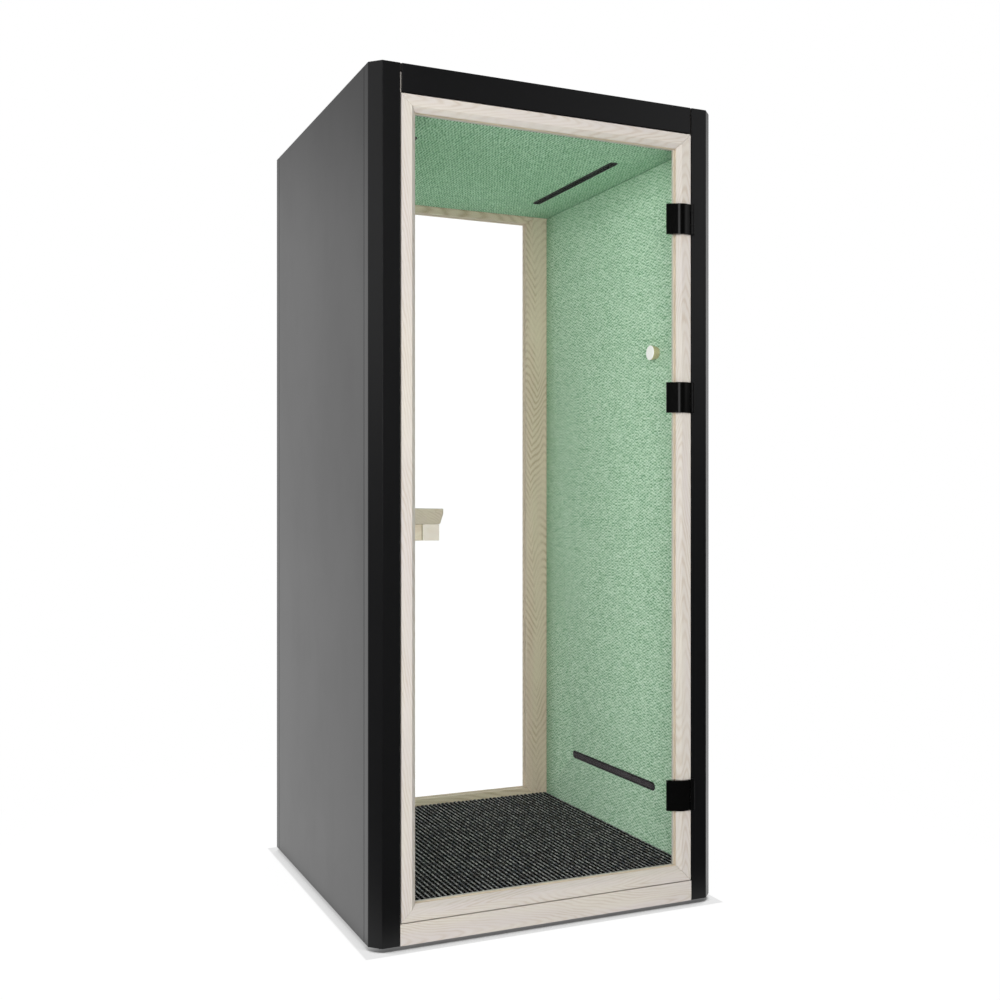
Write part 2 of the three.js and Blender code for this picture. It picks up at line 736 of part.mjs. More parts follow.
const leafGlazing = glazing(
  sightX,
  [leafBottom + sightWidth, leafTop - sightWidth],
  front + leafGroove,
);
place(door, "door_glass", leafGlazing.pane, glass);
place(door, "door_gasket", leafGlazing.gasket, rubber);

// Fans: a plenum box over each ceiling slot carries a short duct with the rotor in it
const plenumRise = [ceilingTop + FIT, ceilingTop + FIT + PLENUM_HEIGHT];
const ductRise = [plenumRise[1] - PLENUM_WALL, roofUnder - FIT];
const fanBore = FAN_RADIUS + FAN_TIP_GAP;
const plenumHalf = CEILING_SLOT_LENGTH / 2 + PLENUM_MARGIN;
const strutRise = [plenumRise[1], plenumRise[1] + FAN_STRUT_THICK];

function fanHousing() {
  const halfX = PLENUM_WIDTH / 2;
  const innerX = halfX - PLENUM_WALL;
  const innerY = plenumHalf - PLENUM_WALL;
  const square = fanBore + PLENUM_WALL;
  const shell = cut(
    join(
      block([-halfX, halfX], [-plenumHalf, plenumHalf], plenumRise),
      block([-square, square], [-square, square], ductRise),
    ),
    block(
      [-innerX, innerX],
      [-innerY, innerY],
      [plenumRise[0] + PLENUM_WALL, plenumRise[1] - PLENUM_WALL],
    ),
    rod(fanBore, [plenumRise[0] + PLENUM_WALL, HEIGHT], 2 * ROUND_SIDES),
    raise(ceilingSlotShape, [0, plenumRise[0] + 2 * PLENUM_WALL]).rotateZ(Math.PI / 2),
  );
  const reach = fanBore + PLENUM_WALL / 2;
  const strutHalf = FAN_STRUT / 2;
  const spider = join(
    rod(FAN_HUB, strutRise),
    block([-reach, reach], [-strutHalf, strutHalf], strutRise),
    block([-strutHalf, strutHalf], [-reach, reach], strutRise),
  );
  return cut(join(shell, spider), rod(FAN_SHAFT_RADIUS + FAN_SHAFT_PLAY, [0, HEIGHT]));
}

function fanRotor() {
  const low = strutRise[1] + FAN_AXIAL_GAP;
  const high = roofUnder - FIT - FAN_AXIAL_GAP;
  const mid = (low + high) / 2;
  const hub = rod(FAN_HUB, [low, high]);
  const shaft = rod(FAN_SHAFT_RADIUS, [strutRise[0], mid]);
  const length = FAN_RADIUS - FAN_HUB / 2;
  const blades = [];
  for (let i = 0; i < FAN_BLADES; i += 1) {
    const blade = new THREE.BoxGeometry(length, BLADE_CHORD, BLADE_THICK);
    blade.rotateX(BLADE_PITCH);
    blade.translate(FAN_HUB / 2 + length / 2, 0, mid);
    blades.push(blade.rotateZ((i / FAN_BLADES) * 2 * Math.PI));
  }
  return join(hub, shaft, ...blades);
}

for (const [side, sign] of Object.entries(sides)) {
  const spot = [sign * CEILING_SLOT_X, CEILING_SLOT_Y, 0];
  place(cabin, `fan_housing_${side}`, fanHousing(), plastic, spot);
  place(fans, `fan_rotor_${side}`, fanRotor(), plastic, spot);
}

// Power for the fans: a driver box on the ceiling and a gland through the roof
const driver = block(
  [-DRIVER_LENGTH / 2, DRIVER_LENGTH / 2],
  [DRIVER_Y - DRIVER_WIDTH / 2, DRIVER_Y + DRIVER_WIDTH / 2],
  [ceilingTop + FIT, ceilingTop + FIT + DRIVER_HEIGHT],
);
place(cabin, "fan_driver", driver, plastic);
const inlet = join(
  rod(INLET_RADIUS, [roofTop + FIT, roofTop + FIT + INLET_HEIGHT]),
  rod(INLET_STEM_RADIUS, [roofUnder - FIT - INLET_NUT_HEIGHT, roofTop + INLET_HEIGHT]),
  rod(INLET_RADIUS, [roofUnder - FIT - INLET_NUT_HEIGHT, roofUnder - FIT], NUT_SIDES),
);
place(cabin, "power_inlet", inlet.translate(0, INLET_Y, 0), plastic);

// Desk: a slab with undercut edges on a wooden beam, held by two wooden brackets
const deskWall = -wallFace + FIT;
const deskFree = -wallFace + DESK_REACH;
const deskRear = rearFace - DESK_REAR_GAP;
const deskFront = deskRear - DESK_LENGTH;
const deskUnder = DESK_HEIGHT - DESK_THICK;

function deskShape() {
  const r = DESK_CORNER;
  const shape = new THREE.Shape();
  shape.moveTo(deskWall, deskFront);
  shape.lineTo(deskFree - r, deskFront);
  shape.absarc(deskFree - r, deskFront + r, r, -Math.PI / 2, 0);
  shape.lineTo(deskFree, deskRear - r);
  shape.absarc(deskFree - r, deskRear - r, r, 0, Math.PI / 2);
  shape.lineTo(deskWall, deskRear);
  return shape;
}

// The edge stands upright under the top, then runs in towards the underside
const deskMiddle = (deskFront + deskRear) / 2;
const underEdge = moved(raise(deskShape(), [deskUnder, DESK_HEIGHT - DESK_EDGE]), (x, y, z) => {
  const inset = z < deskUnder + FIT ? DESK_UNDERCUT : 0;
  const nearWall = x < deskWall + FIT;
  return [nearWall ? x : x - inset, y < deskMiddle ? y + inset : y - inset, z];
});
const upright = raise(deskShape(), [DESK_HEIGHT - DESK_EDGE, DESK_HEIGHT]);
place(cabin, "desk_top", join(underEdge, upright), wood);

const beamX = [deskFree - BEAM_INSET - BEAM_WIDTH, deskFree - BEAM_INSET];
const beamY = [deskFront + BEAM_END, deskRear - BEAM_END];
const beamRise = [deskUnder - FIT - BEAM_HEIGHT, deskUnder - FIT];
place(cabin, "desk_beam", block(beamX, beamY, beamRise), wood);
for (const [end, sy] of Object.entries(ends)) {
  const y = sy < 0 ? beamY[0] + BRACKET_OFFSET : beamY[1] - BRACKET_OFFSET;
  const arm = block(
    [deskWall, beamX[0] - FIT],
    [y - BRACKET_ARM / 2, y + BRACKET_ARM / 2],
    beamRise,
  );
  const plate = block(
    [deskWall, deskWall + BRACKET_PLATE],
    [y - BRACKET_PLATE_WIDTH / 2, y + BRACKET_PLATE_WIDTH / 2],
    [beamRise[0] - BRACKET_PLATE_DROP, beamRise[1]],
  );
  place(cabin, `desk_bracket_${end}`, join(arm, plate), wood);
}

// Coat peg turned about its own axis, with a dowel in the right-hand wall
const pegProfile = [
  [0, -PEG_DOWEL_LENGTH],
  [PEG_DOWEL_RADIUS, -PEG_DOWEL_LENGTH],
  [PEG_DOWEL_RADIUS, FIT],
  [PEG_NECK, FIT],
  [PEG_RADIUS, PEG_LENGTH - PEG_RIM],
  [PEG_RADIUS, PEG_LENGTH - PEG_EDGE],
  [PEG_RADIUS - PEG_EDGE, PEG_LENGTH],
  [0, PEG_LENGTH],
];
const pegPoints = pegProfile.map(([r, out]) => new THREE.Vector2(r, out));
const peg = new THREE.LatheGeometry(pegPoints, ROUND_SIDES).rotateZ(Math.PI / 2);
place(cabin, "coat_peg", peg, wood, [wallFace, pegY, PEG_Z]);

export default pod;
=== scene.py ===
# %% [markdown]
# # Dressing a one-person office booth
# The booth is a black box on a pale wooden frame: four corner posts, two side panels, a glazed
# wooden door and a glazed back. Inside it is lined with green cloth and has a ribbed carpet,
# a wall desk and a coat peg. The solids were drawn in CAD. This lesson loads them as a fixed
# frame, gives each one the finish of the real thing, and remakes the soft and turned pieces
# that plain solids can't show.

# %% Load the frame
import math
import random

import bmesh
import bpy
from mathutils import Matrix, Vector, noise


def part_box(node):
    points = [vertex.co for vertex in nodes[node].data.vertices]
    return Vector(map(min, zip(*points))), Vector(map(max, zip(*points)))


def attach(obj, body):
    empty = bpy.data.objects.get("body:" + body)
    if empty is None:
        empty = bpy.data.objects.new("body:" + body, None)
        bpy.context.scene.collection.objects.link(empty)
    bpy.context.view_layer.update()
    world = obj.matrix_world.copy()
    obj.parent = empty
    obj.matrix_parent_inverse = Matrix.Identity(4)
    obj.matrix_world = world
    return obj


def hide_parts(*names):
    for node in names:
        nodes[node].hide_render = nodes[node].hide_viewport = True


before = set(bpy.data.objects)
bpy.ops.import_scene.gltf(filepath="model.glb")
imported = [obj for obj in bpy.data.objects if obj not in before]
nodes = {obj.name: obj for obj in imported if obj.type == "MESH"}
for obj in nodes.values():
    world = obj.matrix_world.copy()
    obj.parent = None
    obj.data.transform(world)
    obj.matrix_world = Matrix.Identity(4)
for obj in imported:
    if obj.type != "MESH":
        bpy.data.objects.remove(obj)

scene = bpy.context.scene
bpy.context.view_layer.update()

# %% [markdown]
# ## The camera
# The view was worked out from the booth's own straight edges: the camera stands level, a little
# above the desk, in front of the door and to its left. A level camera keeps the posts upright
# in the picture, so the lens needs no shift.

# %% Camera
EYE = (-1.417, -3.324, 1.116)
TURN_RIGHT = math.radians(24.08)
LENS_MM, SENSOR_MM = 43.37, 36.0

eye = bpy.data.objects.new("camera", bpy.data.cameras.new("camera"))
eye.data.lens, eye.data.sensor_width = LENS_MM, SENSOR_MM
eye.location = EYE
eye.rotation_euler = (math.pi / 2, 0, -TURN_RIGHT)
scene.collection.objects.link(eye)
scene.camera = eye
scene.view_settings.view_transform = "Standard"
print("camera at", EYE, "lens", LENS_MM)

# %% [markdown]
# ## A short way to write node trees
# Every finish below is a tree of shader nodes. Writing each node and link in full is slow to
# read, so a small helper adds a node, sets its options and links its inputs in one line.
# Colours are given as the 0-255 numbers of a paint program and turned into linear light.

# %% Node helpers
class Graph:
    """Adds nodes to one tree. An input is a plain value, or the output that feeds it."""

    def __init__(self, tree):
        self.tree = tree

    def add(self, kind, inputs=None, **options):
        node = self.tree.nodes.new("ShaderNode" + kind)
        for name, value in options.items():
            setattr(node, name, value)
        for name, value in (inputs or {}).items():
            if isinstance(value, bpy.types.NodeSocket):
                self.tree.links.new(value, node.inputs[name])
            else:
                node.inputs[name].default_value = value
        return node

    def group(self, tree, inputs):
        return self.add("Group", inputs, node_tree=tree).outputs

    def feed(self, sockets, **sources):
        """Links each source to the socket of its name. An underscore stands for a space."""
        for label, source in sources.items():
            self.tree.links.new(source, sockets[label.replace("_", " ")])

    def math(self, operation, first, second=0.0):
        return self.add("Math", {0: first, 1: second}, operation=operation).outputs[0]

    def plus(self, first, second):
        return self.math("ADD", first, second)

    def minus(self, first, second):
        return self.math("SUBTRACT", first, second)

    def times(self, first, second):
        return self.math("MULTIPLY", first, second)

    def wave(self, turns):
        return self.math("SINE", self.times(turns, 2 * math.pi))

    def axes(self, vector):
        return self.add("SeparateXYZ", {0: vector}).outputs

    def stretch(self, vector, scale):
        return self.add("Mapping", {"Vector": vector, "Scale": scale}).outputs[0]

    def noise(self, vector, scale, detail=2.0, roughness=0.5):
        """Noise from 0 to 1. Three scales in a tuple draw it out along the axes."""
        if isinstance(scale, tuple):
            vector, scale = self.stretch(vector, scale), 1.0
        inputs = {"Vector": vector, "Scale": scale, "Detail": detail, "Roughness": roughness}
        return self.add("TexNoise", inputs).outputs["Fac"]

    def swing(self, vector, scale, detail=2.0, roughness=0.5):
        """The same noise, swinging about zero."""
        return self.minus(self.noise(vector, scale, detail, roughness), 0.5)

    def span(self, value, low, high, to_low=0.0, to_high=1.0):
        inputs = {"Value": value, 1: low, 2: high, 3: to_low, 4: to_high}
        return self.add("MapRange", inputs, interpolation_type="SMOOTHSTEP").outputs[0]

    def mix(self, share, first, second, blend="MIX"):
        inputs = {0: share, 6: first, 7: second}
        return self.add("Mix", inputs, data_type="RGBA", blend_type=blend).outputs[2]


def paint(red, green, blue):
    """A colour written as 0-255 numbers, as the linear values that a shader takes."""
    def linear(c):
        c /= 255
        return c / 12.92 if c <= 0.04045 else ((c + 0.055) / 1.055) ** 2.4
    return (linear(red), linear(green), linear(blue), 1.0)


def empty_graph(owner):
    """The node tree of a world or a material, cleared."""
    owner.use_nodes = True
    owner.node_tree.nodes.clear()
    return Graph(owner.node_tree)


def make_group(name, inputs, outputs):
    """A new shader group: its graph, its input sockets and its output sockets."""
    tree = bpy.data.node_groups.new(name, "ShaderNodeTree")
    for label, kind, value in inputs:
        socket = tree.interface.new_socket(label, in_out="INPUT", socket_type="NodeSocket" + kind)
        if value is not None:
            socket.default_value = value
    for label, kind in outputs:
        tree.interface.new_socket(label, in_out="OUTPUT", socket_type="NodeSocket" + kind)
    graph = Graph(tree)
    source = tree.nodes.new("NodeGroupInput").outputs
    sink = tree.nodes.new("NodeGroupOutput").inputs
    return graph, source, sink


print("helpers ready")

# %% [markdown]
# ## The studio
# The photograph has a white ground and a soft light from the upper left, with darkness behind
# the camera: the black front hardly shines, while the side, seen at a flat angle, shows the
# white ground as grey. So the world is white where the camera and the glass look, and for
# mirror-like rays it is white behind the booth and dark in front of it.

# %% World
AMBIENT = 0.36
THROUGH_GLASS = 1.05  # makes up for what two panes take away


def sight(graph):
    """The kinds of ray, whether a ray is what the camera sees, and how bright white is for it."""
    rays = graph.add("LightPath").outputs
    looked_at = graph.math("MAXIMUM", rays["Is Camera Ray"], rays["Is Transmission Ray"])
    white = graph.span(rays["Is Transmission Ray"], 0.0, 1.0, 1.0, THROUGH_GLASS)
    return rays, looked_at, white


world = bpy.data.worlds.new("studio")
scene.world = world
sky = empty_graph(world)
rays, looked_at, white = sight(sky)
toward = sky.axes(sky.add("TexCoord").outputs["Generated"])
behind = sky.span(toward["Y"], -0.3, 0.3, 0.05, 0.92)  # dark before the door, white behind
overhead = sky.span(toward["Z"], 0.19, 0.36, 1.0, 0.42)  # dimmer from higher up
right = sky.span(toward["X"], 0.36, 0.62, 0.0, 1.1)
right = sky.math("MINIMUM", right, sky.span(toward["X"], 0.7, 0.84, 1.1, 0.15))
left = sky.span(toward["X"], -0.62, -0.86, 0.0, 1.1)
aside = sky.math("MAXIMUM", left, right)  # two bright patches, one on either side
higher = sky.span(toward["Z"], 0.17, 0.34, 1.0, 0.65)
raised = sky.times(sky.span(toward["Z"], 0.05, 0.15), higher)
glow = sky.times(aside, raised)
mirrored = sky.math("MAXIMUM", sky.times(behind, overhead), glow)
light = sky.mix(rays["Is Glossy Ray"], (AMBIENT, AMBIENT, AMBIENT, 1), mirrored)
seen = sky.mix(looked_at, light, white)
backdrop = sky.add("Background", {"Color": seen, "Strength": 1.0})
sky.add("OutputWorld", {"Surface": backdrop.outputs[0]})
print("world light", AMBIENT)

# %% [markdown]
# The lamps are big soft boxes. The main one stands to the left of the camera and reaches
# through the door to the right-hand wall. A tall one lights the front, a low one lights the desk
# and the lower frame, a weak one on the right fills the shade, and two behind shine through the
# rear window, one on each side wall. Only the edge lamp, an upright panel before the door, shows
# in mirror-like rays, where it draws the light lines on hinges and rounded edges. It does nothing
# else.

# %% Lamps
def soft_lamp(name, spot, aim, size, watts, shines=True, lights=True):
    lamp = bpy.data.lights.new(name, "AREA")
    lamp.shape, lamp.size, lamp.size_y, lamp.energy = "RECTANGLE", size[0], size[1], watts
    holder = bpy.data.objects.new(name, lamp)
    holder.location = spot
    holder.rotation_euler = (Vector(aim) - Vector(spot)).to_track_quat("-Z", "Y").to_euler()
    holder.visible_camera = False
    holder.visible_transmission = False
    holder.visible_glossy, holder.visible_diffuse = shines, lights
    scene.collection.objects.link(holder)
    return holder


lamps = [
    soft_lamp("main_lamp", (-3.4, -3.4, 1.9), (0.1, 0.0, 1.1), (3.0, 2.4), 117, shines=False),
    soft_lamp("tall_lamp", (-1.6, -5.0, 2.5), (0.0, 0.0, 1.1), (0.9, 2.3), 43, shines=False),
    soft_lamp("edge_lamp", (-0.95, -5.0, 2.4), (0.3, 0.0, 1.2), (1.1, 2.6), 30, lights=False),
    soft_lamp("low_lamp", (-1.2, -5.0, 1.2), (0.0, 0.0, 1.0), (1.5, 1.2), 54, shines=False),
    soft_lamp("fill_lamp", (1.8, -4.6, 1.4), (-0.2, 0.0, 1.0), (2.0, 1.6), 14, shines=False),
    soft_lamp("rear_lamp_left", (-2.2, 3.8, 1.1), (0.2, 0.0, 1.1), (2.5, 2.0), 36, shines=False),
    soft_lamp("rear_lamp_right", (2.2, 3.8, 2.0), (-0.2, 0.0, 1.1), (2.5, 2.0), 80, shines=False),
]
print("lamps:", [lamp.name for lamp in lamps])

# %% [markdown]
# The floor is white paper. Seen by the camera it glows faintly by itself, so it meets the white
# of the world with no horizon, and the part that is lit like any paper carries the shadow.
# Under the booth and a finger's breadth beyond it a painted shadow makes the glow weaker, and
# close to the base, where little sky is open, it fades into a painted dark line, strongest before
# the door. In mirror-like rays the floor before the door is dim, like the dark room behind the
# camera.

# %% Floor
FLOOR_HALF = 30.0
FLOOR_GLOW, FLOOR_LIT, FLOOR_DIM = 0.94, 0.12, 0.06
CONTACT = 0.065
SHADE_LOW, SHADE_HIGH, SHADE_LEVEL = (-0.522, -0.525), (0.513, 0.506), 0.77

paper = bpy.data.materials.new("floor_paper")
sheet = empty_graph(paper)
rays, looked_at, white = sight(sheet)
place = sheet.add("TexCoord").outputs["Object"]
# painted shadow in the floor's glow: a dark line close to the base, weaker along the sides, and a
# dimmer rectangle under the booth
open_sky = sheet.add("AmbientOcclusion", {"Distance": CONTACT}, samples=8).outputs["AO"]
line = sheet.span(open_sky, 0.42, 0.58, 0.06, 1.0)
across = sheet.axes(place)
sides = sheet.span(across["Y"], -0.5, -0.42, 0.0, 0.6)
line = sheet.plus(line, sheet.times(sides, sheet.minus(1.0, line)))
past = sheet.minus(SHADE_LOW[0], across["X"])
for other in (
    sheet.minus(across["X"], SHADE_HIGH[0]),
    sheet.minus(SHADE_LOW[1], across["Y"]),
    sheet.minus(across["Y"], SHADE_HIGH[1]),
):
    past = sheet.math("MAXIMUM", past, other)
shade = sheet.span(past, -0.004, 0.004, SHADE_LEVEL, 1.0)
glow = sheet.times(line, shade)
away = sheet.add("VectorMath", {0: place}, operation="LENGTH").outputs["Value"]
away = sheet.span(away, 0.75, 1.9)
glow = sheet.times(glow, sheet.span(away, 0.0, 1.0, FLOOR_GLOW, 1.0))
glow = sheet.add("Emission", {"Color": sheet.times(glow, white)}).outputs[0]
lit = sheet.span(away, 0.0, 1.0, FLOOR_LIT, 0.0)
fibres = sheet.span(sheet.noise(place, 40.0), 0.2, 0.8, 0.79, 0.81)
plain = sheet.add("BsdfDiffuse", {"Color": fibres}).outputs[0]
dim = sheet.add("BsdfDiffuse", {"Color": (FLOOR_DIM, FLOOR_DIM, FLOOR_DIM, 1)}).outputs[0]
shaded = sheet.add("BsdfDiffuse", {"Color": lit}).outputs[0]
ground = sheet.add("AddShader", {0: shaded, 1: glow}).outputs[0]
rear = sheet.span(across["Y"], -0.75, -0.35)
mirrored = sheet.add("MixShader", {0: rear, 1: dim, 2: ground}).outputs[0]
unseen = sheet.add("MixShader", {0: rays["Is Glossy Ray"], 1: plain, 2: mirrored}).outputs[0]
paper_face = sheet.add("MixShader", {0: looked_at, 1: unseen, 2: ground}).outputs[0]
sheet.add("OutputMaterial", {"Surface": paper_face})

flat = bpy.data.meshes.new("floor")
corners = [(x * FLOOR_HALF, y * FLOOR_HALF, 0) for x, y in ((-1, -1), (1, -1), (1, 1), (-1, 1))]
flat.from_pydata(corners, [], [(0, 1, 2, 3)])
flat.materials.append(paper)
floor = bpy.data.objects.new("floor", flat)
scene.collection.objects.link(floor)
print("floor", 2 * FLOOR_HALF, "m wide")

# %% [markdown]
# ## Effects that several finishes share
# No real surface is one even colour. *Mottling* shifts a colour a little over a slow noise.
# *Sprayed skin* is the faint orange peel of lacquer, powder coat and moulded plastic.
# *Worn edge* finds the rounded rims of a piece, where hands and cloths rub a finish thin.
# *Handling* is the cloudy trace of wiping that changes only the gloss.

# %% Shared groups
def mottling_group():
    g, given, out = make_group(
        "Mottling",
        [("Vector", "Vector", None), ("Colour", "Color", (0.5, 0.5, 0.5, 1)),
         ("Scale", "Float", 4.0), ("Amount", "Float", 0.1)],
        [("Colour", "Color")],
    )
    swing = g.times(g.swing(given["Vector"], given["Scale"], 3.0), given["Amount"])
    level = g.plus(g.times(swing, 2.0), 1.0)
    grey = g.add("CombineXYZ", {0: level, 1: level, 2: level}).outputs[0]
    g.feed(out, Colour=g.mix(1.0, given["Colour"], grey, "MULTIPLY"))
    return g.tree


def sprayed_skin_group():
    g, given, out = make_group(
        "Sprayed skin",
        [("Vector", "Vector", None), ("Scale", "Float", 300.0)],
        [("Height", "Float"), ("Gloss", "Float")],
    )
    peel = g.noise(given["Vector"], given["Scale"], 1.0)
    g.feed(out, Height=peel, Gloss=g.noise(given["Vector"], 7.0, 4.0, 0.6))
    return g.tree


def worn_edge_group():
    g, given, out = make_group(
        "Worn edge", [("Vector", "Vector", None), ("Radius", "Float", 0.002)], [("Mask", "Float")]
    )
    rounded = g.add("Bevel", {"Radius": given["Radius"]}, samples=4).outputs[0]
    true = g.add("NewGeometry").outputs["Normal"]
    same = g.add("VectorMath", {0: rounded, 1: true}, operation="DOT_PRODUCT").outputs["Value"]
    rim = g.span(g.minus(1.0, same), 0.02, 0.25)
    patchy = g.span(g.noise(given["Vector"], 35.0, 3.0), 0.35, 0.7)
    g.feed(out, Mask=g.times(rim, patchy))
    return g.tree


def handling_group():
    g, given, out = make_group(
        "Handling", [("Vector", "Vector", None), ("Scale", "Float", 5.0)], [("Mask", "Float")]
    )
    wiped = g.noise(g.stretch(given["Vector"], (1.0, 1.0, 0.45)), given["Scale"], 5.0, 0.62)
    g.feed(out, Mask=g.span(wiped, 0.4, 0.75))
    return g.tree


MOTTLING = mottling_group()
SPRAYED_SKIN = sprayed_skin_group()
WORN_EDGE = worn_edge_group()
HANDLING = handling_group()
print("groups:", [tree.name for tree in bpy.data.node_groups])

# %% [markdown]
# A finish is a material with one Principled shader. This helper starts one and hands back its
# graph, the place on the piece (each piece keeps its CAD place, so this is also the place in
# the booth, in metres) and the shader, whose plain numbers are set on its own sockets.

# %% Starting a finish
def start_finish(name, **plain):
    material = bpy.data.materials.new(name)
    g = empty_graph(material)
    shader = g.add("BsdfPrincipled")
    for label, value in plain.items():
        shader.inputs[label.replace("_", " ")].default_value = value
    g.add("OutputMaterial", {"Surface": shader.outputs[0]})
    place = g.add("TexCoord").outputs["Object"]
    return material, g, place, shader


def mottled(g, place, colour, scale, amount):
    inputs = {"Vector": place, "Colour": colour, "Scale": scale, "Amount": amount}
    return g.group(MOTTLING, inputs)["Colour"]


def dent(g, height, depth, strength=1.0):
    inputs = {"Height": height, "Distance": depth, "Strength": strength}
    return g.add("Bump", inputs).outputs[0]


print("finish helpers ready")

# %% [markdown]
# ## Black finishes
# Posts, panels, roof and fascia are sprayed with a satin black lacquer. The hinges wear a
# glossier black enamel, and the grilles and fan parts are moulded plastic. One function makes
# all of them, because they differ only in gloss, skin and wear.

# %% Lacquer, enamel and plastic
def black_finish(name, colour, worn, gloss, skin, wear, **plain):
    """gloss is the range of roughness, skin is (scale, depth), and wear is how wide rims rub."""
    material, g, place, shader = start_finish(name, **plain)
    base = mottled(g, place, colour, 3.0, 0.12)
    rim = g.group(WORN_EDGE, {"Vector": place, "Radius": wear})["Mask"]
    peel = g.group(SPRAYED_SKIN, {"Vector": place, "Scale": skin[0]})
    wiped = g.group(HANDLING, {"Vector": place, "Scale": 4.0})["Mask"]
    cloudy = g.plus(g.times(peel["Gloss"], 0.6), g.times(wiped, 0.4))
    g.feed(
        shader.inputs,
        Base_Color=g.mix(g.times(rim, 0.5), base, worn),
        Roughness=g.span(cloudy, 0.15, 0.75, *gloss),
        Normal=dent(g, peel["Height"], skin[1]),
    )
    return material


black_lacquer = black_finish(
    "black_lacquer", paint(13, 13, 14), paint(44, 44, 45), gloss=(0.29, 0.315),
    skin=(420, 0.00002), wear=0.0016, Specular_IOR_Level=0.38,
)
black_enamel = black_finish(
    "black_enamel", paint(5, 5, 5), paint(28, 28, 29), gloss=(0.13, 0.17),
    skin=(700, 0.00001), wear=0.001, Specular_IOR_Level=0.22,
)
black_plastic = black_finish(
    "black_plastic", paint(13, 13, 14), paint(36, 35, 37), gloss=(0.45, 0.58),
    skin=(1500, 0.00006), wear=0.0008, Specular_IOR_Level=0.25,
)
grey_plastic = black_finish(
    "grey_plastic", paint(70, 64, 68), paint(88, 82, 86), gloss=(0.5, 0.62),
    skin=(1500, 0.00004), wear=0.0004, Specular_IOR_Level=0.25,
)
print("black finishes made")

# %% [markdown]
# ## Pale wood
# The frames, plinths, desk and peg are a bleached, close-grained wood. A board sawn near the
# middle of a log shows its growth rings as long lines that meet in nested arches. Here a ring
# is a line of equal distance from the middle of each board, and the arch comes from letting
# that distance grow slowly along the grain. A slow noise makes the lines wander. The group
# reads its grain along X, so each material only turns the piece's place until it lies so.

# %% Wood figure group
def wood_figure_group():
    g, given, out = make_group(
        "Wood figure",
        [("Vector", "Vector", None), ("Ring", "Float", 0.0066), ("Board", "Float", 0.062),
         ("Arch", "Float", 0.09)],
        [("Lines", "Float"), ("Pores", "Float"), ("Tint", "Float")],
    )
    grain = given["Vector"]
    axis = g.axes(grain)
    bend = g.swing(grain, (2.3, 8, 8), 2.0, 0.4)
    ripple = g.swing(grain, (16, 70, 70), 2.0)
    across = g.plus(g.times(axis["Y"], 0.6), axis["Z"])
    across = g.plus(across, g.times(bend, 0.08))
    side = g.math("PINGPONG", across, given["Board"])
    round_top = g.math("SQRT", g.plus(g.times(side, side), 0.00007))
    climb = g.times(axis["X"], given["Arch"])
    rings = g.plus(g.plus(round_top, climb), g.times(ripple, 0.009))
    rings = g.math("DIVIDE", g.plus(rings, g.times(bend, 0.05)), given["Ring"])
    wave = g.wave(rings)
    late = g.math("POWER", g.plus(g.times(wave, 0.5), 0.5), 2.2)
    uneven = g.span(g.noise(grain, (5, 26, 26), 2.0), 0.32, 0.68, 0.2, 1.0)
    pores = g.noise(grain, (30, 900, 900), 2.0, 0.6)
    g.feed(
        out,
        Lines=g.times(late, uneven),
        Pores=g.span(pores, 0.55, 0.8),
        Tint=g.noise(grain, (2.5, 24, 24), 3.0, 0.55),
    )
    return g.tree


WOOD_FIGURE = wood_figure_group()
print("made", WOOD_FIGURE.name)

# %% [markdown]
# Upright stiles, level rails and the desk each get the same wood with the grain turned their way.
# The tint slides between a rosy and a yellowish cream, as bleached boards do. The rear frame's
# wood is painted yellower and darker, as painted shade and the green light it gets inside the
# booth, and its rings are plainer to see. The desk top has its own, yellower tones. The beam
# under it and the arms that hold it are painted paler, as painted light that makes up for the dim
# light under the desk, and the peg's wood is darker and yellower.

# %% Wood finishes
QUARTER = math.pi / 2
# Each wood has a rosy cream, a yellowish cream and the colour of its ring lines.
PALE = (paint(199, 192, 188), paint(202, 196, 186), paint(179, 164, 147))
# painted shade: the rear frame's wood is yellower and darker for the shade and green light it
# gets
REAR_SHADE_TONES = (paint(211, 193, 173), paint(214, 199, 177), paint(166, 141, 110))
# painted light: paler tones for the beam, to make up for the dim light under the desk
UNDER_DESK_LIT_TONES = (paint(247, 237, 228), paint(249, 241, 229), paint(222, 203, 182))
DESK_TONES = (paint(206, 194, 177), paint(210, 199, 178), paint(178, 160, 135))
# painted light: paler tones for the desk's arms, for the same dim light
ARM_LIT_TONES = (paint(236, 221, 200), paint(238, 225, 204), paint(210, 190, 163))
TURNED = (paint(190, 181, 142), paint(196, 187, 148), paint(166, 150, 112))


def pale_wood(name, turn, tones=PALE, share=0.6, ring=0.0075, board=0.07, arch=0.17):
    material, g, place, shader = start_finish(name)
    grain = g.add("Mapping", {"Vector": place, "Rotation": turn}).outputs[0]
    sawn = {"Vector": grain, "Ring": ring, "Board": board, "Arch": arch}
    figure = g.group(WOOD_FIGURE, sawn)
    cream = g.mix(g.span(figure["Tint"], 0.3, 0.7), tones[0], tones[1])
    base = mottled(g, grain, cream, 5.0, 0.06)
    lined = g.mix(g.times(figure["Lines"], share), base, tones[2])
    pored = g.mix(g.times(figure["Pores"], 0.3), lined, tones[2])
    rim = g.group(WORN_EDGE, {"Vector": place, "Radius": 0.0015})["Mask"]
    sunk = g.plus(figure["Pores"], g.times(figure["Lines"], 0.5))
    g.feed(
        shader.inputs,
        Base_Color=g.mix(g.times(rim, 0.25), pored, paint(228, 221, 212)),
        Roughness=g.span(figure["Pores"], 0.0, 1.0, 0.5, 0.66),
        Normal=dent(g, g.times(sunk, -1.0), 0.00012, 0.6),
    )
    return material


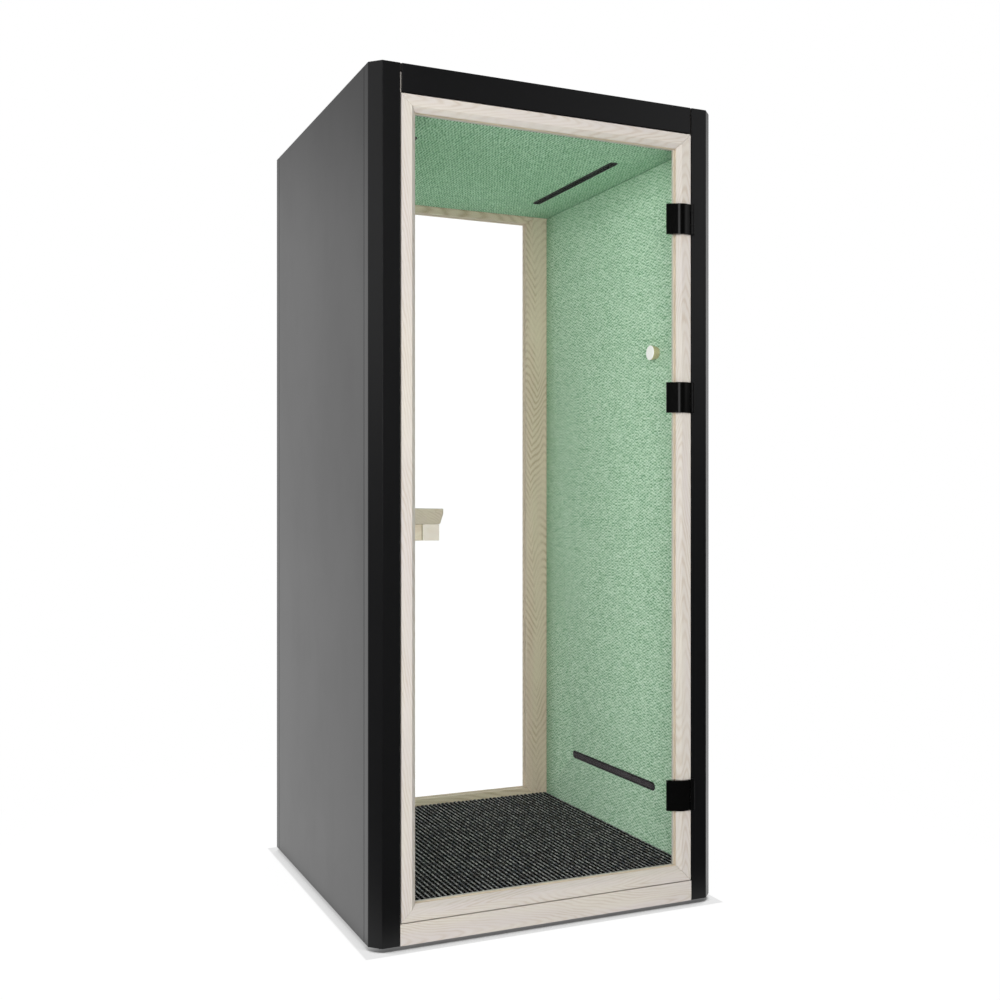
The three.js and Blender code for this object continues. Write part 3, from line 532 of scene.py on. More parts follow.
wood_upright = pale_wood("pale_wood_upright", (0, QUARTER, 0))
wood_level = pale_wood("pale_wood_level", (0, 0, 0))
wood_desk = pale_wood("desk_wood", (0, 0, QUARTER), DESK_TONES)
rear_shade = {"tones": REAR_SHADE_TONES, "share": 0.6, "ring": 0.016, "board": 0.045}
rear_shade_upright = pale_wood("rear_shade_wood_upright", (0, QUARTER, 0), arch=0.6, **rear_shade)
rear_shade_level = pale_wood("rear_shade_wood_level", (0, 0, 0), arch=0.2, **rear_shade)
wood_under_desk_lit = pale_wood(
    "under_desk_lit_wood", (0, 0, QUARTER), UNDER_DESK_LIT_TONES, share=1.0, ring=0.005, arch=0.5
)
wood_arm_lit = pale_wood("arm_lit_wood", (0, 0, 0), ARM_LIT_TONES)
print("woods:", wood_upright.name, wood_level.name, wood_desk.name, wood_under_desk_lit.name)

# %% [markdown]
# ## Green cloth
# The walls and the ceiling wear a heavy woven cloth. Thick yarns lie in level rows about 9 mm
# apart, and along each row long loops show and hide in turn, with the next yarn's loops filling
# the spaces between, like a brick wall. The product of two crossed waves makes that pattern.
# Slow noises push the loops about, and finer ones swell some, starve others and leave knots, as
# hand-spun yarn does. The group puts out the height of the yarn with masks for its crowns and
# gaps, where the cloth finish paints a highlight and shade. It reads its cloth in X (along a row)
# and Y (from row to row).

# %% Woven cloth group
def woven_cloth_group():
    g, given, out = make_group(
        "Woven cloth",
        [("Vector", "Vector", None), ("Row", "Float", 0.0091), ("Loop", "Float", 0.021),
         ("Rib", "Float", 0.05)],
        [("Height", "Float"), ("Crown", "Float"), ("Gap", "Float"), ("Thread", "Float")],
    )
    cloth = given["Vector"]
    axis = g.axes(cloth)
    aside = g.add("VectorMath", {0: cloth, 1: (3.1, 7.7, 1.3)}, operation="ADD").outputs[0]
    sway = g.times(g.swing(cloth, 45.0, 2.0), 0.7)
    slip = g.times(g.swing(aside, 60.0, 2.0), 1.6)
    row = g.plus(g.math("DIVIDE", axis["Y"], given["Row"]), sway)
    loop = g.plus(g.math("DIVIDE", axis["X"], given["Loop"]), slip)
    rows = g.wave(row)
    along = g.wave(loop)
    bricks = g.times(rows, along)
    swell = g.swing(cloth, (125, 215, 125), 1.0)
    knots = g.swing(aside, (70, 210, 70), 1.0)
    fuzz = g.swing(cloth, 320.0, 2.0)
    twist = g.plus(g.times(loop, 6.0), row)
    turns = g.wave(twist)
    height = g.times(rows, given["Rib"])
    for part, share in ((bricks, 0.42), (swell, 1.0), (knots, 0.9), (fuzz, 0.5), (turns, 0.05)):
        height = g.plus(height, g.times(part, share))
    g.feed(
        out,
        Height=height,
        Crown=g.span(height, 0.0, 0.45),
        Gap=g.span(height, 0.0, -0.45),
        Thread=g.noise(cloth, 420.0, 1.0),
    )
    return g.tree


WOVEN_CLOTH = woven_cloth_group()
print("made", WOVEN_CLOTH.name)

# %% [markdown]
# The wall and the ceiling share that weave, but the ceiling cloth is painted a more saturated,
# slightly darker green, as painted shade. The ceiling cloth is pulled from front to rear, so its
# rows stand up more than its loops. Towards the seams where two linings meet, the cloth is
# painted darker, as painted shade in the corners.

# %% Cloth finishes
YARN_DEPTH = 0.0014
# how far the cloth is painted towards its gap colour near a seam, as painted corner shade
CORNER_SHADE = 0.35


def green_cloth(name, axes, rib, yarn, spun, crown, gap, seams):
    """axes picks which of the piece's X, Y and Z run along the rows and across them. rib is how
    far a whole row stands up. seams lists (axis, where the painted corner shade starts, the
    seam): the cloth is painted darker, towards its gap colour, near a seam."""
    material, g, place, shader = start_finish(
        name, Sheen_Weight=0.25, Sheen_Roughness=0.5, Specular_IOR_Level=0.2
    )
    shader.inputs["Sheen Tint"].default_value = paint(200, 226, 205)
    xyz = g.axes(place)
    cloth = g.add("CombineXYZ", {i: xyz[a] for i, a in enumerate(axes)}).outputs[0]
    weave = g.group(WOVEN_CLOTH, {"Vector": cloth, "Rib": rib})
    base = mottled(g, place, yarn, 6.0, 0.05)
    flecked = g.mix(g.span(weave["Thread"], 0.3, 0.7, 0.0, 0.25), base, spun)
    # painted highlight on the yarn crowns and painted shade in the gaps between them
    lit = g.mix(weave["Crown"], flecked, crown)
    woven = g.mix(weave["Gap"], lit, gap)
    # painted shade: the cloth darkens towards each seam
    for axis, start, end in seams:
        corner_shade = g.span(g.math("ABSOLUTE", xyz[axis]), start, end, 0.0, CORNER_SHADE)
        woven = g.mix(corner_shade, woven, gap)
    g.feed(
        shader.inputs,
        Base_Color=woven,
        Roughness=g.span(weave["Height"], -0.5, 0.6, 0.98, 0.85),
        Normal=dent(g, weave["Height"], YARN_DEPTH, 0.7),
    )
    return material


room_high, room_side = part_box("ceiling_lining")[0].z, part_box("wall_lining_right")[0].x
room_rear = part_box("wall_lining_right")[1].y
cloth_wall = green_cloth(
    "green_cloth_wall", ("Y", "Z", "X"), 0.05,
    paint(170, 203, 173), paint(179, 208, 182), paint(210, 229, 211), paint(114, 157, 121),
    [("Z", room_high - 0.13, room_high), ("Y", room_rear - 0.06, room_rear)],
)
# the ceiling's yarn and gap colours are greener than the wall's, as painted shade
cloth_ceiling = green_cloth(
    "green_cloth_ceiling", ("Y", "X", "Z"), 0.24,
    paint(152, 198, 160), paint(164, 206, 171), paint(200, 232, 206), paint(88, 144, 100),
    [("X", room_side - 0.13, room_side)],
)
print("cloths:", cloth_wall.name, cloth_ceiling.name)

# %% [markdown]
# ## Carpet yarn
# The carpet's yarn is charcoal, spun from brownish and bluish strands with light tufts here and
# there. Each rib starts its tufts at a place of its own. The yarn keeps its colour only along the
# crown of the rib: a little to the side of it the colour is painted near black, as painted shade
# where the pile swallows the light.

# %% Carpet yarn
RIBS = 60
TUFT = 0.0075  # length of one run of yarn along a rib
carpet_low, carpet_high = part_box("carpet")
RIB_PITCH = (carpet_high.x - carpet_low.x) / RIBS


def carpet_yarn():
    material, g, place, shader = start_finish("carpet_yarn", Specular_IOR_Level=0.04)
    axis = g.axes(place)
    across = g.math("DIVIDE", g.minus(axis["X"], carpet_low.x), RIB_PITCH)
    rib = g.math("FLOOR", across)
    start = g.add("TexWhiteNoise", {"W": rib}, noise_dimensions="1D").outputs["Value"]
    tuft = g.math("FLOOR", g.plus(g.math("DIVIDE", axis["Y"], TUFT), start))
    spot = g.add("CombineXYZ", {0: rib, 1: tuft}).outputs[0]
    tone = g.add("TexWhiteNoise", {"Vector": spot}, noise_dimensions="2D").outputs["Value"]
    off_crown = g.math("ABSOLUTE", g.minus(g.minus(across, rib), 0.5))
    fleck = g.noise(place, (800, 300, 300), 3.0, 0.65)
    dyed = g.span(g.noise(place, (260, 60, 60), 1.0), 0.4, 0.6)
    shade = g.mix(dyed, paint(108, 104, 100), paint(93, 98, 106))
    dark = mottled(g, place, shade, 14.0, 0.15)
    share = g.times(g.span(tone, 0.25, 1.0), g.span(fleck, 0.4, 0.56))
    spun = g.mix(share, dark, paint(216, 215, 214))
    g.feed(
        shader.inputs,
        # painted shade: near black a little to the side of each rib's crown
        Base_Color=g.mix(g.span(off_crown, 0.07, 0.23), spun, paint(4, 4, 4)),
        Roughness=g.span(fleck, 0.2, 0.8, 1.0, 0.88),
        Normal=dent(g, fleck, 0.0012, 0.8),
    )
    return material


yarn_charcoal = carpet_yarn()
print("made", yarn_charcoal.name)

# %% [markdown]
# ## Rubber, steel, board and wool
# These are small parts of the view, but each still has its own grain: chalky rubber, brushed
# steel, the stacked plies of the deck, and matted wool inside the walls.

# %% Rubber, steel, board and wool
PLY = 0.0032  # two plies of the deck, a light one and a dark one


def rubber(name, colour, worn):
    material, g, place, shader = start_finish(name, Specular_IOR_Level=0.3)
    base = mottled(g, place, colour, 20.0, 0.18)
    skin = g.group(SPRAYED_SKIN, {"Vector": place, "Scale": 900.0})
    rim = g.group(WORN_EDGE, {"Vector": place, "Radius": 0.0008})["Mask"]
    g.feed(
        shader.inputs,
        Base_Color=g.mix(g.times(rim, 0.4), base, worn),
        Roughness=g.span(skin["Gloss"], 0.2, 0.8, 0.7, 0.88),
        Normal=dent(g, skin["Height"], 0.00005),
    )
    return material


def brushed_steel(name, colour):
    material, g, place, shader = start_finish(name, Metallic=1.0)
    brush = g.noise(place, (1400, 1400, 40), 2.0)
    g.feed(
        shader.inputs,
        Base_Color=mottled(g, place, colour, 60.0, 0.1),
        Roughness=g.span(brush, 0.2, 0.8, 0.26, 0.42),
        Normal=dent(g, brush, 0.00002),
    )
    return material


def ply_board():
    material, g, place, shader = start_finish("ply_board")
    layers = g.wave(g.math("DIVIDE", g.axes(place)["Z"], PLY))
    figure = g.group(WOOD_FIGURE, {"Vector": place, "Ring": 0.009, "Board": 0.09, "Arch": 0.06})
    ply = g.mix(g.span(layers, -0.4, 0.4), paint(176, 148, 112), paint(204, 178, 140))
    g.feed(
        shader.inputs,
        Base_Color=g.mix(g.times(figure["Lines"], 0.4), ply, paint(150, 120, 86)),
        Roughness=g.span(figure["Pores"], 0.0, 1.0, 0.62, 0.8),
        Normal=dent(g, figure["Pores"], 0.0002),
    )
    return material


def wool_felt():
    material, g, place, shader = start_finish("wool_felt", Specular_IOR_Level=0.1)
    hair = g.noise(place, (260, 700, 260), 4.0, 0.7)
    felt = mottled(g, place, paint(140, 136, 116), 25.0, 0.2)
    g.feed(
        shader.inputs,
        Base_Color=g.mix(g.span(hair, 0.45, 0.75), felt, paint(182, 177, 158)),
        Roughness=g.span(hair, 0.2, 0.8, 1.0, 0.9),
        Normal=dent(g, hair, 0.001),
    )
    return material


rubber_black = rubber("rubber_black", paint(32, 30, 29), paint(58, 55, 52))
rubber_tan = rubber("rubber_tan", paint(214, 199, 179), paint(222, 209, 191))
steel = brushed_steel("brushed_steel", paint(188, 190, 193))
blued_steel = brushed_steel("blued_steel", paint(48, 48, 52))
board = ply_board()
felt = wool_felt()
print("made", rubber_black.name, rubber_tan.name, steel.name, board.name, felt.name)

# %% [markdown]
# ## Glass
# Both windows are clear, and in the photograph they hardly show. The pane is a real slab with
# two faces, so the shader refracts it properly. Shadow and soft light pass straight through,
# as they would through clear glass, because refracting every ray of soft light is slow and
# grainy. A low index of refraction keeps the reflections as faint as they are in the picture.
# Wiping marks change the gloss a little.

# %% Glass finish
def clear_glass():
    material, g, place, shader = start_finish("clear_glass", Transmission_Weight=1.0, IOR=1.18)
    output = next(n for n in g.tree.nodes if n.type == "OUTPUT_MATERIAL")
    wiped = g.group(HANDLING, {"Vector": place, "Scale": 3.0})["Mask"]
    g.feed(
        shader.inputs,
        Base_Color=mottled(g, place, (0.995, 0.999, 0.997, 1), 2.0, 0.002),
        Roughness=g.times(wiped, 0.012),
    )
    rays = g.add("LightPath").outputs
    unbent = g.math("MAXIMUM", rays["Is Shadow Ray"], rays["Is Diffuse Ray"])
    clear = g.add("BsdfTransparent", {"Color": (0.985, 0.99, 0.988, 1)}).outputs[0]
    both = g.add("MixShader", {0: unbent, 1: shader.outputs[0], 2: clear}).outputs[0]
    g.tree.links.new(both, output.inputs["Surface"])
    return material


glass = clear_glass()
print("made", glass.name)

# %% [markdown]
# ## Dressing the CAD pieces
# The rigid solids are right as they are. Real edges are never knife sharp, though, and a thin
# rounded rim is what catches the light along a post. So each solid keeps its mesh and gets
# modifiers: weld its corners, merge flat triangles, round the edges, and even out the normals.

# %% Finish and edge rounding for each CAD piece
WELD_WITHIN = 1e-5
FLAT_WITHIN, SHARP_OVER = math.radians(0.6), math.radians(32)
HINGES = ("upper", "middle", "lower")
SIDES = ("left", "right")
LACQUERED = [f"corner_post_{end}_{side}" for end in ("front", "rear") for side in SIDES]
LACQUERED += ["side_panel_left", "side_panel_right", "roof_panel", "front_fascia", "rear_fascia"]
LEVEL = ["header_board", "front_plinth", "rear_plinth", "door_rail_bottom", "door_rail_top"]

finishes = [  # finish, radius of the rounded edges in metres, pieces
    (black_lacquer, 0.0018, LACQUERED),
    (wood_upright, 0.0009, ["door_stile_hinge", "door_stile_lock"]),
    (wood_level, 0.0009, LEVEL),
    (rear_shade_upright, 0.0009, ["rear_stile_left", "rear_stile_right"]),
    (rear_shade_level, 0.0009, ["rear_rail_bottom", "rear_rail_top"]),
    (wood_desk, 0.0016, ["desk_top"]),
    (wood_under_desk_lit, 0.0016, ["desk_beam"]),
    (board, 0.0006, ["base_deck"]),
    (felt, 0.002, ["acoustic_core_left", "acoustic_core_right"]),
    (glass, 0.0008, ["rear_glass", "door_glass"]),
    (rubber_black, 0.0004, ["floor_runner_left", "floor_runner_right", "door_seal"]),
    (rubber_tan, 0.0003, ["rear_gasket", "door_gasket"]),
    (black_enamel, 0.0006, [f"hinge_{part}_{h}" for part in ("strap", "leaf") for h in HINGES]),
    (wood_arm_lit, 0.0012, ["desk_bracket_front", "desk_bracket_rear"]),
    (blued_steel, 0.0003, [f"hinge_pin_{h}" for h in HINGES]),
    (steel, 0.0003, ["catch_magnet", "strike_plate"]),
    (black_plastic, 0.0004, ["wall_grille", "ceiling_grille_left", "ceiling_grille_right"]),
    (black_plastic, 0.0004, [f"fan_{part}_{s}" for part in ("housing", "rotor") for s in SIDES]),
    (black_plastic, 0.0008, ["fan_driver", "power_inlet"]),
]


def smooth_shading():
    """A geometry tree that shades every face smooth and leaves the mesh as it is."""
    tree = bpy.data.node_groups.new("Shade smooth", "GeometryNodeTree")
    tree.interface.new_socket("Geometry", in_out="INPUT", socket_type="NodeSocketGeometry")
    tree.interface.new_socket("Geometry", in_out="OUTPUT", socket_type="NodeSocketGeometry")
    step = tree.nodes.new("GeometryNodeSetShadeSmooth")
    tree.links.new(tree.nodes.new("NodeGroupInput").outputs[0], step.inputs[0])
    tree.links.new(step.outputs[0], tree.nodes.new("NodeGroupOutput").inputs[0])
    return tree


SMOOTH = smooth_shading()


def even_normals(piece):
    even = piece.modifiers.new("even_normals", "WEIGHTED_NORMAL")
    even.weight, even.keep_sharp = 60, False


def round_edges(piece, radius):
    piece.modifiers.new("weld", "WELD").merge_threshold = WELD_WITHIN
    flat = piece.modifiers.new("merge_flats", "DECIMATE")
    flat.decimate_type, flat.angle_limit = "DISSOLVE", FLAT_WITHIN
    rim = piece.modifiers.new("rim", "BEVEL")
    rim.width, rim.segments = radius, 2
    rim.limit_method, rim.angle_limit = "ANGLE", SHARP_OVER
    piece.modifiers.new("smooth", "NODES").node_group = SMOOTH
    even_normals(piece)


dressed = set()
for material, radius, names in finishes:
    for name in names:
        solid = nodes[name]
        solid.data.materials.clear()
        solid.data.materials.append(material)
        round_edges(solid, radius)
        dressed.add(name)
print("dressed", len(dressed), "of", len(nodes), "to remake:", sorted(set(nodes) - dressed))

# %% [markdown]
# ## Making new pieces
# The soft and turned pieces are drawn point by point. Most of them are rings of points with faces
# between one ring and the next, so one helper makes those faces. Another turns the points into a
# piece that rides on its body and stands in for what it remakes.

# %% Helpers for new pieces
def skin(bm, rings):
    """Faces between each ring of points and the next. A ring of one point is a tip."""
    for a, b in zip(rings, rings[1:]):
        for k in range(max(len(a), len(b))):
            n = k + 1
            corners = [a[k % len(a)], a[n % len(a)], b[n % len(b)], b[k % len(b)]]
            bm.faces.new(list(dict.fromkeys(corners)))


def bar(bm, ends):
    """A closed bar between two rings of points."""
    skin(bm, ends)
    for cap in ends:
        bm.faces.new(cap)


def keep_piece(name, bm, material, body, slot, *stands_for, smooth=False):
    """Puts the points of bm in the scene as a new piece, on its body. slot is not used."""
    bmesh.ops.recalc_face_normals(bm, faces=bm.faces)
    if smooth:
        for face in bm.faces:
            face.smooth = True
    mesh = bpy.data.meshes.new(name)
    bm.to_mesh(mesh)
    bm.free()
    mesh.materials.append(material)
    piece = bpy.data.objects.new(name, mesh)
    scene.collection.objects.link(piece)
    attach(piece, body)
    if stands_for:
        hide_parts(*stands_for)
    return piece


print("piece helpers ready")

# %% [markdown]
# ## Cloth-covered boards
# Each lining is a felt board with the green cloth pulled over it and stapled behind. Simulated
# cloth would only lie flat here, because the cloth is tight, so the board is drawn directly:
# loops of points roll round its rim from the back to the face, and round the rim of every slot
# that is cut through it. The face between those loops is then filled.

# %% Covered boards
WRAP = 0.004  # how tightly the cloth rolls round a rim
SLOT_WRAP = 0.0015
ROLL_STEPS = 4
LEVEL_RING = 0.003  # a level band inside each roll, so the face beyond it shades dead flat
CORNER_STEPS = 5
SLOT_LIP = 0.0025  # how far a grille's rim laps its slot


def round_rectangle(half_u, half_v, radius):
    points = []
    for turn, (su, sv) in enumerate(((1, 1), (-1, 1), (-1, -1), (1, -1))):
        for step in range(CORNER_STEPS):
            angle = (turn + step / (CORNER_STEPS - 1)) * math.pi / 2
            points.append((su * (half_u - radius) + radius * math.cos(angle),
                           sv * (half_v - radius) + radius * math.sin(angle)))
    return points


def roll(depth, wrap):
    """(how far in from the rim, how deep) from the back of a board round to its face."""
    steps = [(0.0, depth)]
    for i in range(ROLL_STEPS + 1):
        angle = i / ROLL_STEPS * math.pi / 2
        steps.append((wrap * (1 - math.cos(angle)), wrap * (1 - math.sin(angle))))
    return steps + [(wrap + LEVEL_RING, 0.0)]


def covered_board(name, node, along, up, out, slots, material):
    """along, up and out are the axes of the cloth; out is (axis, sign) towards the room.
    slots are (centre along, centre up, length, width, whether the length runs along)."""
    low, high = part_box(node)
    axis, sign = out
    face, depth = (high if sign > 0 else low)[axis], high[axis] - low[axis]
    middle = (low + high) / 2
    bm = bmesh.new()

    def put(u, v, d):
        p = Vector((0, 0, 0))
        p[along], p[up], p[axis] = u, v, face - sign * d
        return bm.verts.new(p)

    half_u, half_v = (high[along] - low[along]) / 2, (high[up] - low[up]) / 2
    loops = []
    for inset, d in roll(depth, WRAP):
        outline = round_rectangle(half_u - inset, half_v - inset, WRAP * 2 - inset)
        loops.append([put(middle[along] + u, middle[up] + v, d) for u, v in outline])
    rims = [loops]
    for cu, cv, length, width, lies in slots:
        loops = []
        for inset, d in roll(depth, SLOT_WRAP):
            a, b = length / 2 + inset, width / 2 + inset
            outline = round_rectangle(*((a, b) if lies else (b, a)), b)
            loops.append([put(cu + u, cv + v, d) for u, v in outline])
        rims.append(loops)
    for loops in rims:
        skin(bm, loops)
    for level in (0, -1):
        edges = []
        for loops in rims:
            ring = loops[level]
            edges += [bm.edges.get(pair) for pair in zip(ring, ring[1:] + ring[:1])]
        bmesh.ops.triangle_fill(bm, edges=edges, use_beauty=True)
    piece = keep_piece(name, bm, material, "cabin", "green_fabric", node, smooth=True)
    even_normals(piece)
    return piece


def slot_of(grille, along, up):
    """The slot that a grille sits in, read back from the grille's own size."""
    low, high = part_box(grille)
    mid, size = (low + high) / 2, high - low
    lies = size[along] > size[up]
    long, short = max(size[along], size[up]), min(size[along], size[up])
    return (mid[along], mid[up], long - 2 * SLOT_LIP, short - 2 * SLOT_LIP, lies)


boards = [
    covered_board("wall_cloth_left", "wall_lining_left", 1, 2, (0, 1), [], cloth_wall),
    covered_board("wall_cloth_right", "wall_lining_right", 1, 2, (0, -1),
                  [slot_of("wall_grille", 1, 2)], cloth_wall),
    covered_board("ceiling_cloth", "ceiling_lining", 0, 1, (2, -1),
                  [slot_of("ceiling_grille_left", 0, 1), slot_of("ceiling_grille_right", 0, 1)],
                  cloth_ceiling),
]
print("covered boards:", [(b.name, len(b.data.polygons)) for b in boards])

# %% [markdown]
# ## Ribbed carpet
# The carpet is loop pile, tufted in straight rows from the door to the window, about 15 mm
# apart. Bump alone would look painted at this flat angle, so the ribs are real: a grid of
# points takes the height of each row, and every row's loops rise and fall in a rhythm of
# their own. The random numbers are seeded, so the carpet is the same each time.

# %% Carpet ribs
RIB_HEIGHT = 0.0058
RIB_POINTS = 8  # points across one rib
LOOP_STEP = 0.0062  # distance between points along a rib
LOOP_HEIGHT = 0.0013
LOOP_LENGTH = 0.021
STRAY_HEIGHT, STRAY_SCALE = 0.0005, 130  # yarn that lies a little high or low
SHOULDER_Y, TONGUE_HALF = -0.4397, 0.3997  # the carpet narrows between the front posts
EDGE_SLACK = 1e-6

dice = random.Random(14)


def ribbed_carpet():
    low, high = carpet_low, carpet_high
    columns = [low.x + RIB_PITCH * i / RIB_POINTS for i in range(RIBS * RIB_POINTS + 1)]
    for edge in (-TONGUE_HALF, TONGUE_HALF):
        nearest = min(range(len(columns)), key=lambda i: abs(columns[i] - edge))
        columns[nearest] = edge
    deep = high.y - SHOULDER_Y
    steps = round(deep / LOOP_STEP)
    rows = [low.y, (low.y + SHOULDER_Y) / 2]
    rows += [SHOULDER_Y + deep * j / steps for j in range(steps + 1)]
    phase = [dice.uniform(0, 2 * math.pi) for _ in range(RIBS)]
    bm = bmesh.new()
    grid = {}
    for i, x in enumerate(columns):
        rib = min(RIBS - 1, i // RIB_POINTS)
        across = i / RIB_POINTS - rib
        crown = abs(math.sin(math.pi * across)) ** 0.7
        for j, y in enumerate(rows):
            if y < SHOULDER_Y - EDGE_SLACK and abs(x) > TONGUE_HALF + EDGE_SLACK:
                continue
            loop = 0.5 + 0.5 * math.sin(2 * math.pi * y / LOOP_LENGTH + phase[rib])
            stray = noise.noise(Vector((x * STRAY_SCALE, y * STRAY_SCALE, 0.0)))
            drop = RIB_HEIGHT * (1 - crown) + LOOP_HEIGHT * crown * (1 - loop)
            drop += STRAY_HEIGHT * (stray + 1)
            grid[i, j] = bm.verts.new((x, y, high.z - drop))
    for i in range(len(columns) - 1):
        for j in range(len(rows) - 1):
            quad = [grid.get(k) for k in ((i, j), (i + 1, j), (i + 1, j + 1), (i, j + 1))]
            if None not in quad:
                bm.faces.new(quad).smooth = True
    rim = [e for e in bm.edges if e.is_boundary]
    grown = bmesh.ops.extrude_edge_only(bm, edges=rim)["geom"]
    foot = [v for v in grown if isinstance(v, bmesh.types.BMVert)]
    for v in foot:
        v.co.z = low.z
    base = [e for e in grown if isinstance(e, bmesh.types.BMEdge)]
    bmesh.ops.contextual_create(bm, geom=base)
    return keep_piece("carpet_ribs", bm, yarn_charcoal, "cabin", "carpet_pile", "carpet")


carpet = ribbed_carpet()
print("carpet points:", len(carpet.data.vertices))

# %% [markdown]
# ## Coat peg
# The peg is turned on a lathe, so it is made by turning a profile about its axis, with enough
# steps to look round and small steps where the edges are eased.

# %% Coat peg
PEG_SIDES = 64
PEG_PROFILE = [  # radius and distance from the wall, in millimetres
    (0, 0.4), (17.1, 0.4), (17.5, 0.8), (21.3, 20.2), (21.5, 21.2), (21.5, 22.2), (21.2, 23.1),
    (20.5, 23.7), (19.6, 24), (0, 24),
]
PEG_LIT_END = 0.0009  # how deep the painted highlight on the end reaches


def peg_wood(end):
    """Wood as on the desk, but darker and yellower, with its end at x = end painted near white,
    as a painted highlight.
    """
    material = pale_wood("turned_wood", (0, 0, QUARTER), TURNED, share=0.5)
    g = Graph(material.node_tree)
    shader = next(n for n in g.tree.nodes if n.type == "BSDF_PRINCIPLED")
    colour = shader.inputs["Base Color"]
    along = g.axes(g.add("TexCoord").outputs["Object"])["X"]
    lit_end = g.span(along, end + 2 * PEG_LIT_END, end + PEG_LIT_END)
    # painted highlight: the end of the peg is painted near white
    pale = g.mix(lit_end, colour.links[0].from_socket, paint(250, 246, 246))
    g.tree.links.new(pale, colour)
    return material


def turned(bm, profile, sides, foot, axis, up, six_sided=()):
    """Rings of a profile, given in millimetres, turned about axis from foot. The rings named in
    six_sided are pulled out to a hexagon."""
    axis, up = Vector(axis), Vector(up)
    side = axis.cross(up)
    rings = []
    for level, (radius, out) in enumerate(profile):
        ring = []
        for k in range(sides if radius else 1):
            angle = 2 * math.pi * k / sides
            reach = radius
            if level in six_sided:
                reach /= math.cos((angle + math.pi / 6) % (math.pi / 3) - math.pi / 6)
            across = up * math.cos(angle) + side * math.sin(angle)
            ring.append(bm.verts.new(Vector(foot) + (axis * out + across * reach) / 1000))
        rings.append(ring)
    skin(bm, rings)
    return rings


peg_low, peg_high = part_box("coat_peg")
wall_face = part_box("wall_lining_right")[0].x
peg_foot = (wall_face, (peg_low.y + peg_high.y) / 2, (peg_low.z + peg_high.z) / 2)
peg_points = bmesh.new()
turned(peg_points, PEG_PROFILE, PEG_SIDES, peg_foot, (-1, 0, 0), (0, 0, 1))
peg_finish = peg_wood(wall_face - PEG_PROFILE[-1][1] / 1000)
peg = keep_piece(
    "turned_peg", peg_points, peg_finish, "cabin", "pale_wood", "coat_peg", smooth=True
)
even_normals(peg)

# %% [markdown]
# ## Dust screens
# A fine plastic net is welded over the cells of each air grille and keeps dust out of the wall.
# From a distance it greys the slot and hides the ribs, and only the grille's rim stays black.

# %% Dust screens
NET_PITCH = 0.0032
NET_THREAD = 0.0014
NET_LIFT = 0.0003  # the middle of the threads stands this far before the ribs
NET_RIM = 0.0026  # rim of the grille that stays bare


def net(name, grille, along, up, axis, material):
    """A net across the face of one grille, whose low side along axis is towards the room."""
    cu, cv, length, width, lies = slot_of(grille, along, up)
    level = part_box(grille)[0][axis] - NET_LIFT
    bm = bmesh.new()

    def thread(a, b, across):
        lift = Vector((0, 0, 0))
        lift[axis] = NET_THREAD / 2
        sides = (lift, across, -lift, -across)
        bar(bm, [[bm.verts.new(p + s) for s in sides] for p in (a, b)])

    def at(u, v):
        p = Vector((0, 0, 0))
        p[along], p[up], p[axis] = (cu + u, cv + v, level) if lies else (cu + v, cv + u, level)
        return p

    half_w = width / 2 - NET_RIM
    straight = (length - width) / 2
    cross = at(0, NET_THREAD / 2) - at(0, 0)
    ahead = at(NET_THREAD / 2, 0) - at(0, 0)
    steps = int(2 * half_w / NET_PITCH)
    for i in range(1, steps):
        v = -half_w + 2 * half_w * i / steps
        reach = straight + math.sqrt(half_w ** 2 - v ** 2)
        thread(at(-reach, v), at(reach, v), cross)
    steps = int(2 * (straight + half_w) / NET_PITCH)
    for i in range(1, steps):
        u = (straight + half_w) * (2 * i / steps - 1)
        reach = math.sqrt(half_w ** 2 - max(0.0, abs(u) - straight) ** 2)
        thread(at(u, -reach), at(u, reach), ahead)
    return keep_piece(name, bm, material, "cabin", "black_plastic")


nets = [
    net("wall_net", "wall_grille", 1, 2, 0, grey_plastic),
    net("ceiling_net_left", "ceiling_grille_left", 0, 1, 2, black_plastic),
    net("ceiling_net_right", "ceiling_grille_right", 0, 1, 2, black_plastic),
]
print("net threads:", [len(n.data.polygons) // 6 for n in nets])

# %% [markdown]
# ## Screws
# The roof lifts off for servicing, and the desk brackets are screwed to the wall. A socket
# screw is a low turned dome with a six-sided recess, so the inner rings of the turned profile
# are pulled out to a hexagon.

# %% Screws
SCREW_SIDES = 24
SCREW_PROFILE = [  # radius and height, in millimetres
    (0, -1.2), (2.0, -1.2), (2.0, 1.7), (3.4, 1.75), (4.6, 1.4), (5.2, 0.8), (5.3, 0.0),
]
SOCKET_RINGS = (1, 2)
ROOF_INSET = 0.03
PLATE_THICK = 0.012  # the bracket's wall plate
PLATE_ACROSS, PLATE_UP = (-0.0125, 0.0125), (0.016, 0.05)  # places of its screws


def screws(name, feet, axis, up, material, slot):
    bm = bmesh.new()
    for foot in feet:
        rings = turned(bm, SCREW_PROFILE, SCREW_SIDES, foot, axis, up, SOCKET_RINGS)
        bm.faces.new(rings[-1])
    return keep_piece(name, bm, material, "cabin", slot)


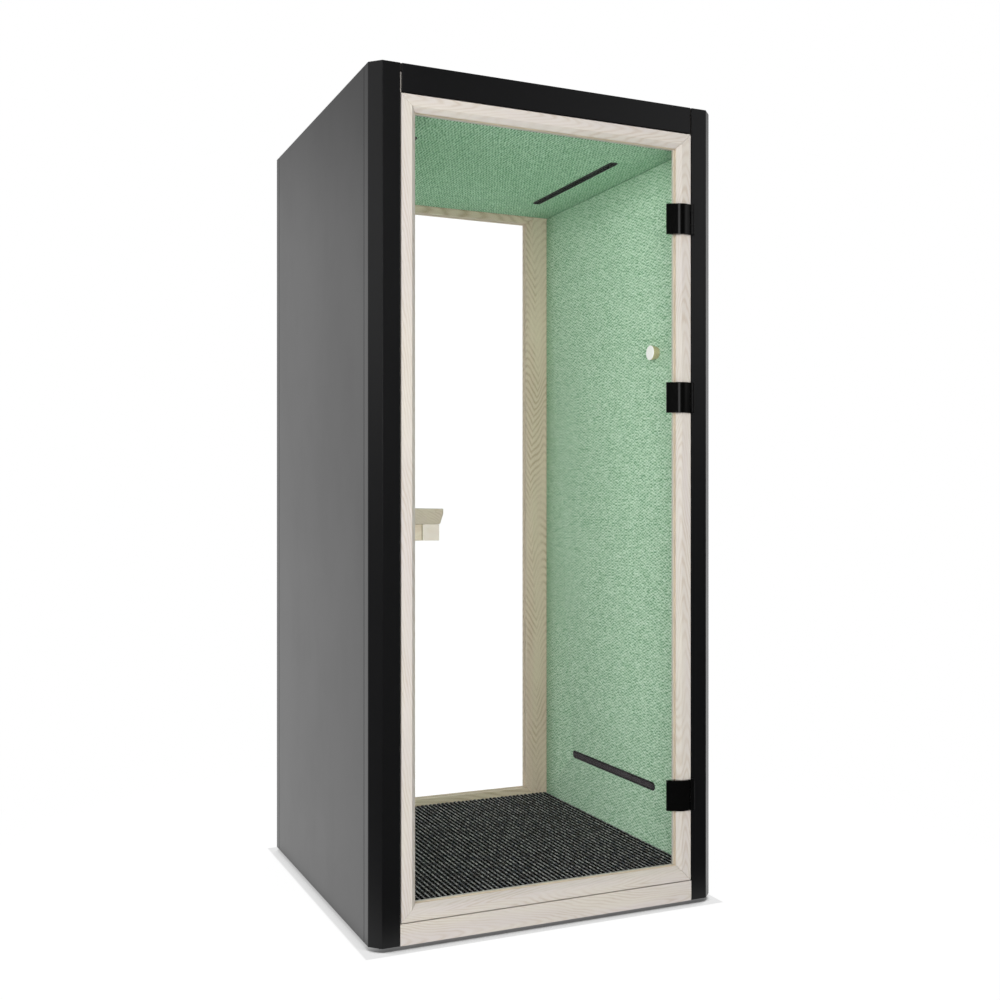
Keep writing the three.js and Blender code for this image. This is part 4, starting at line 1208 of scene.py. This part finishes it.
roof_low, roof_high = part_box("roof_panel")
roof_across = (roof_low.x + ROOF_INSET, 0, roof_high.x - ROOF_INSET)
roof_along = (roof_low.y + ROOF_INSET, (roof_low.y + roof_high.y) / 2, roof_high.y - ROOF_INSET)
roof_feet = [
    (x, y, roof_high.z) for x in roof_across for y in roof_along if x or abs(y) > ROOF_INSET
]
screws("roof_screws", roof_feet, (0, 0, 1), (1, 0, 0), steel, "bare_steel")

bracket_feet = []
for end in ("front", "rear"):
    low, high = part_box(f"desk_bracket_{end}")
    for dy in PLATE_ACROSS:
        for dz in PLATE_UP:
            bracket_feet.append((low.x + PLATE_THICK, (low.y + high.y) / 2 + dy, low.z + dz))
screws("bracket_screws", bracket_feet, (1, 0, 0), (0, 0, 1), black_enamel, "black_metal")
print("screws:", len(roof_feet), "on the roof,", len(bracket_feet), "on the brackets")

# %% [markdown]
# ## Closing tape
# The fascia stops a little short of the posts. Near the top of each slit a strip of black foam
# tape closes it, so that no daylight shows over the header board behind. A strip is a short bar
# with a bulging face, drawn as one outline of points that is carried up the slit.

# %% Closing tape
TAPE_LOW, TAPE_HIGH = 0.02, 0.0012  # below the fascia's top edge
TAPE_SETBACK, TAPE_DEPTH = 0.0025, 0.005
TAPE_BULGE = 0.0012
TAPE_POINTS = 9
TAPE_PLAY = 0.0002


def closing_tape(name, slits, top, front, material):
    """slits are (left, right) in X. Each strip fills one slit behind the front face."""
    face, back = front + TAPE_SETBACK, front + TAPE_SETBACK + TAPE_DEPTH
    bm = bmesh.new()
    for left, right in slits:
        outline = [(right, back), (left, back)]
        for i in range(TAPE_POINTS):
            share = i / (TAPE_POINTS - 1)
            bulge = TAPE_BULGE * math.sin(math.pi * share)
            outline.append((left + (right - left) * share, face - bulge))
        levels = (top - TAPE_LOW, top - TAPE_HIGH)
        bar(bm, [[bm.verts.new((x, y, z)) for x, y in outline] for z in levels])
    return keep_piece(name, bm, material, "cabin", "dark_rubber")


band_low, band_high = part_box("front_fascia")
header_low, header_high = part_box("header_board")  # this board reaches from post to post
slits = [(header_low.x, band_low.x - TAPE_PLAY), (band_high.x + TAPE_PLAY, header_high.x)]
tape = closing_tape("closing_tape", slits, band_high.z, band_low.y, rubber_black)
print("slits closed:", [round(right - left, 4) for left, right in slits])
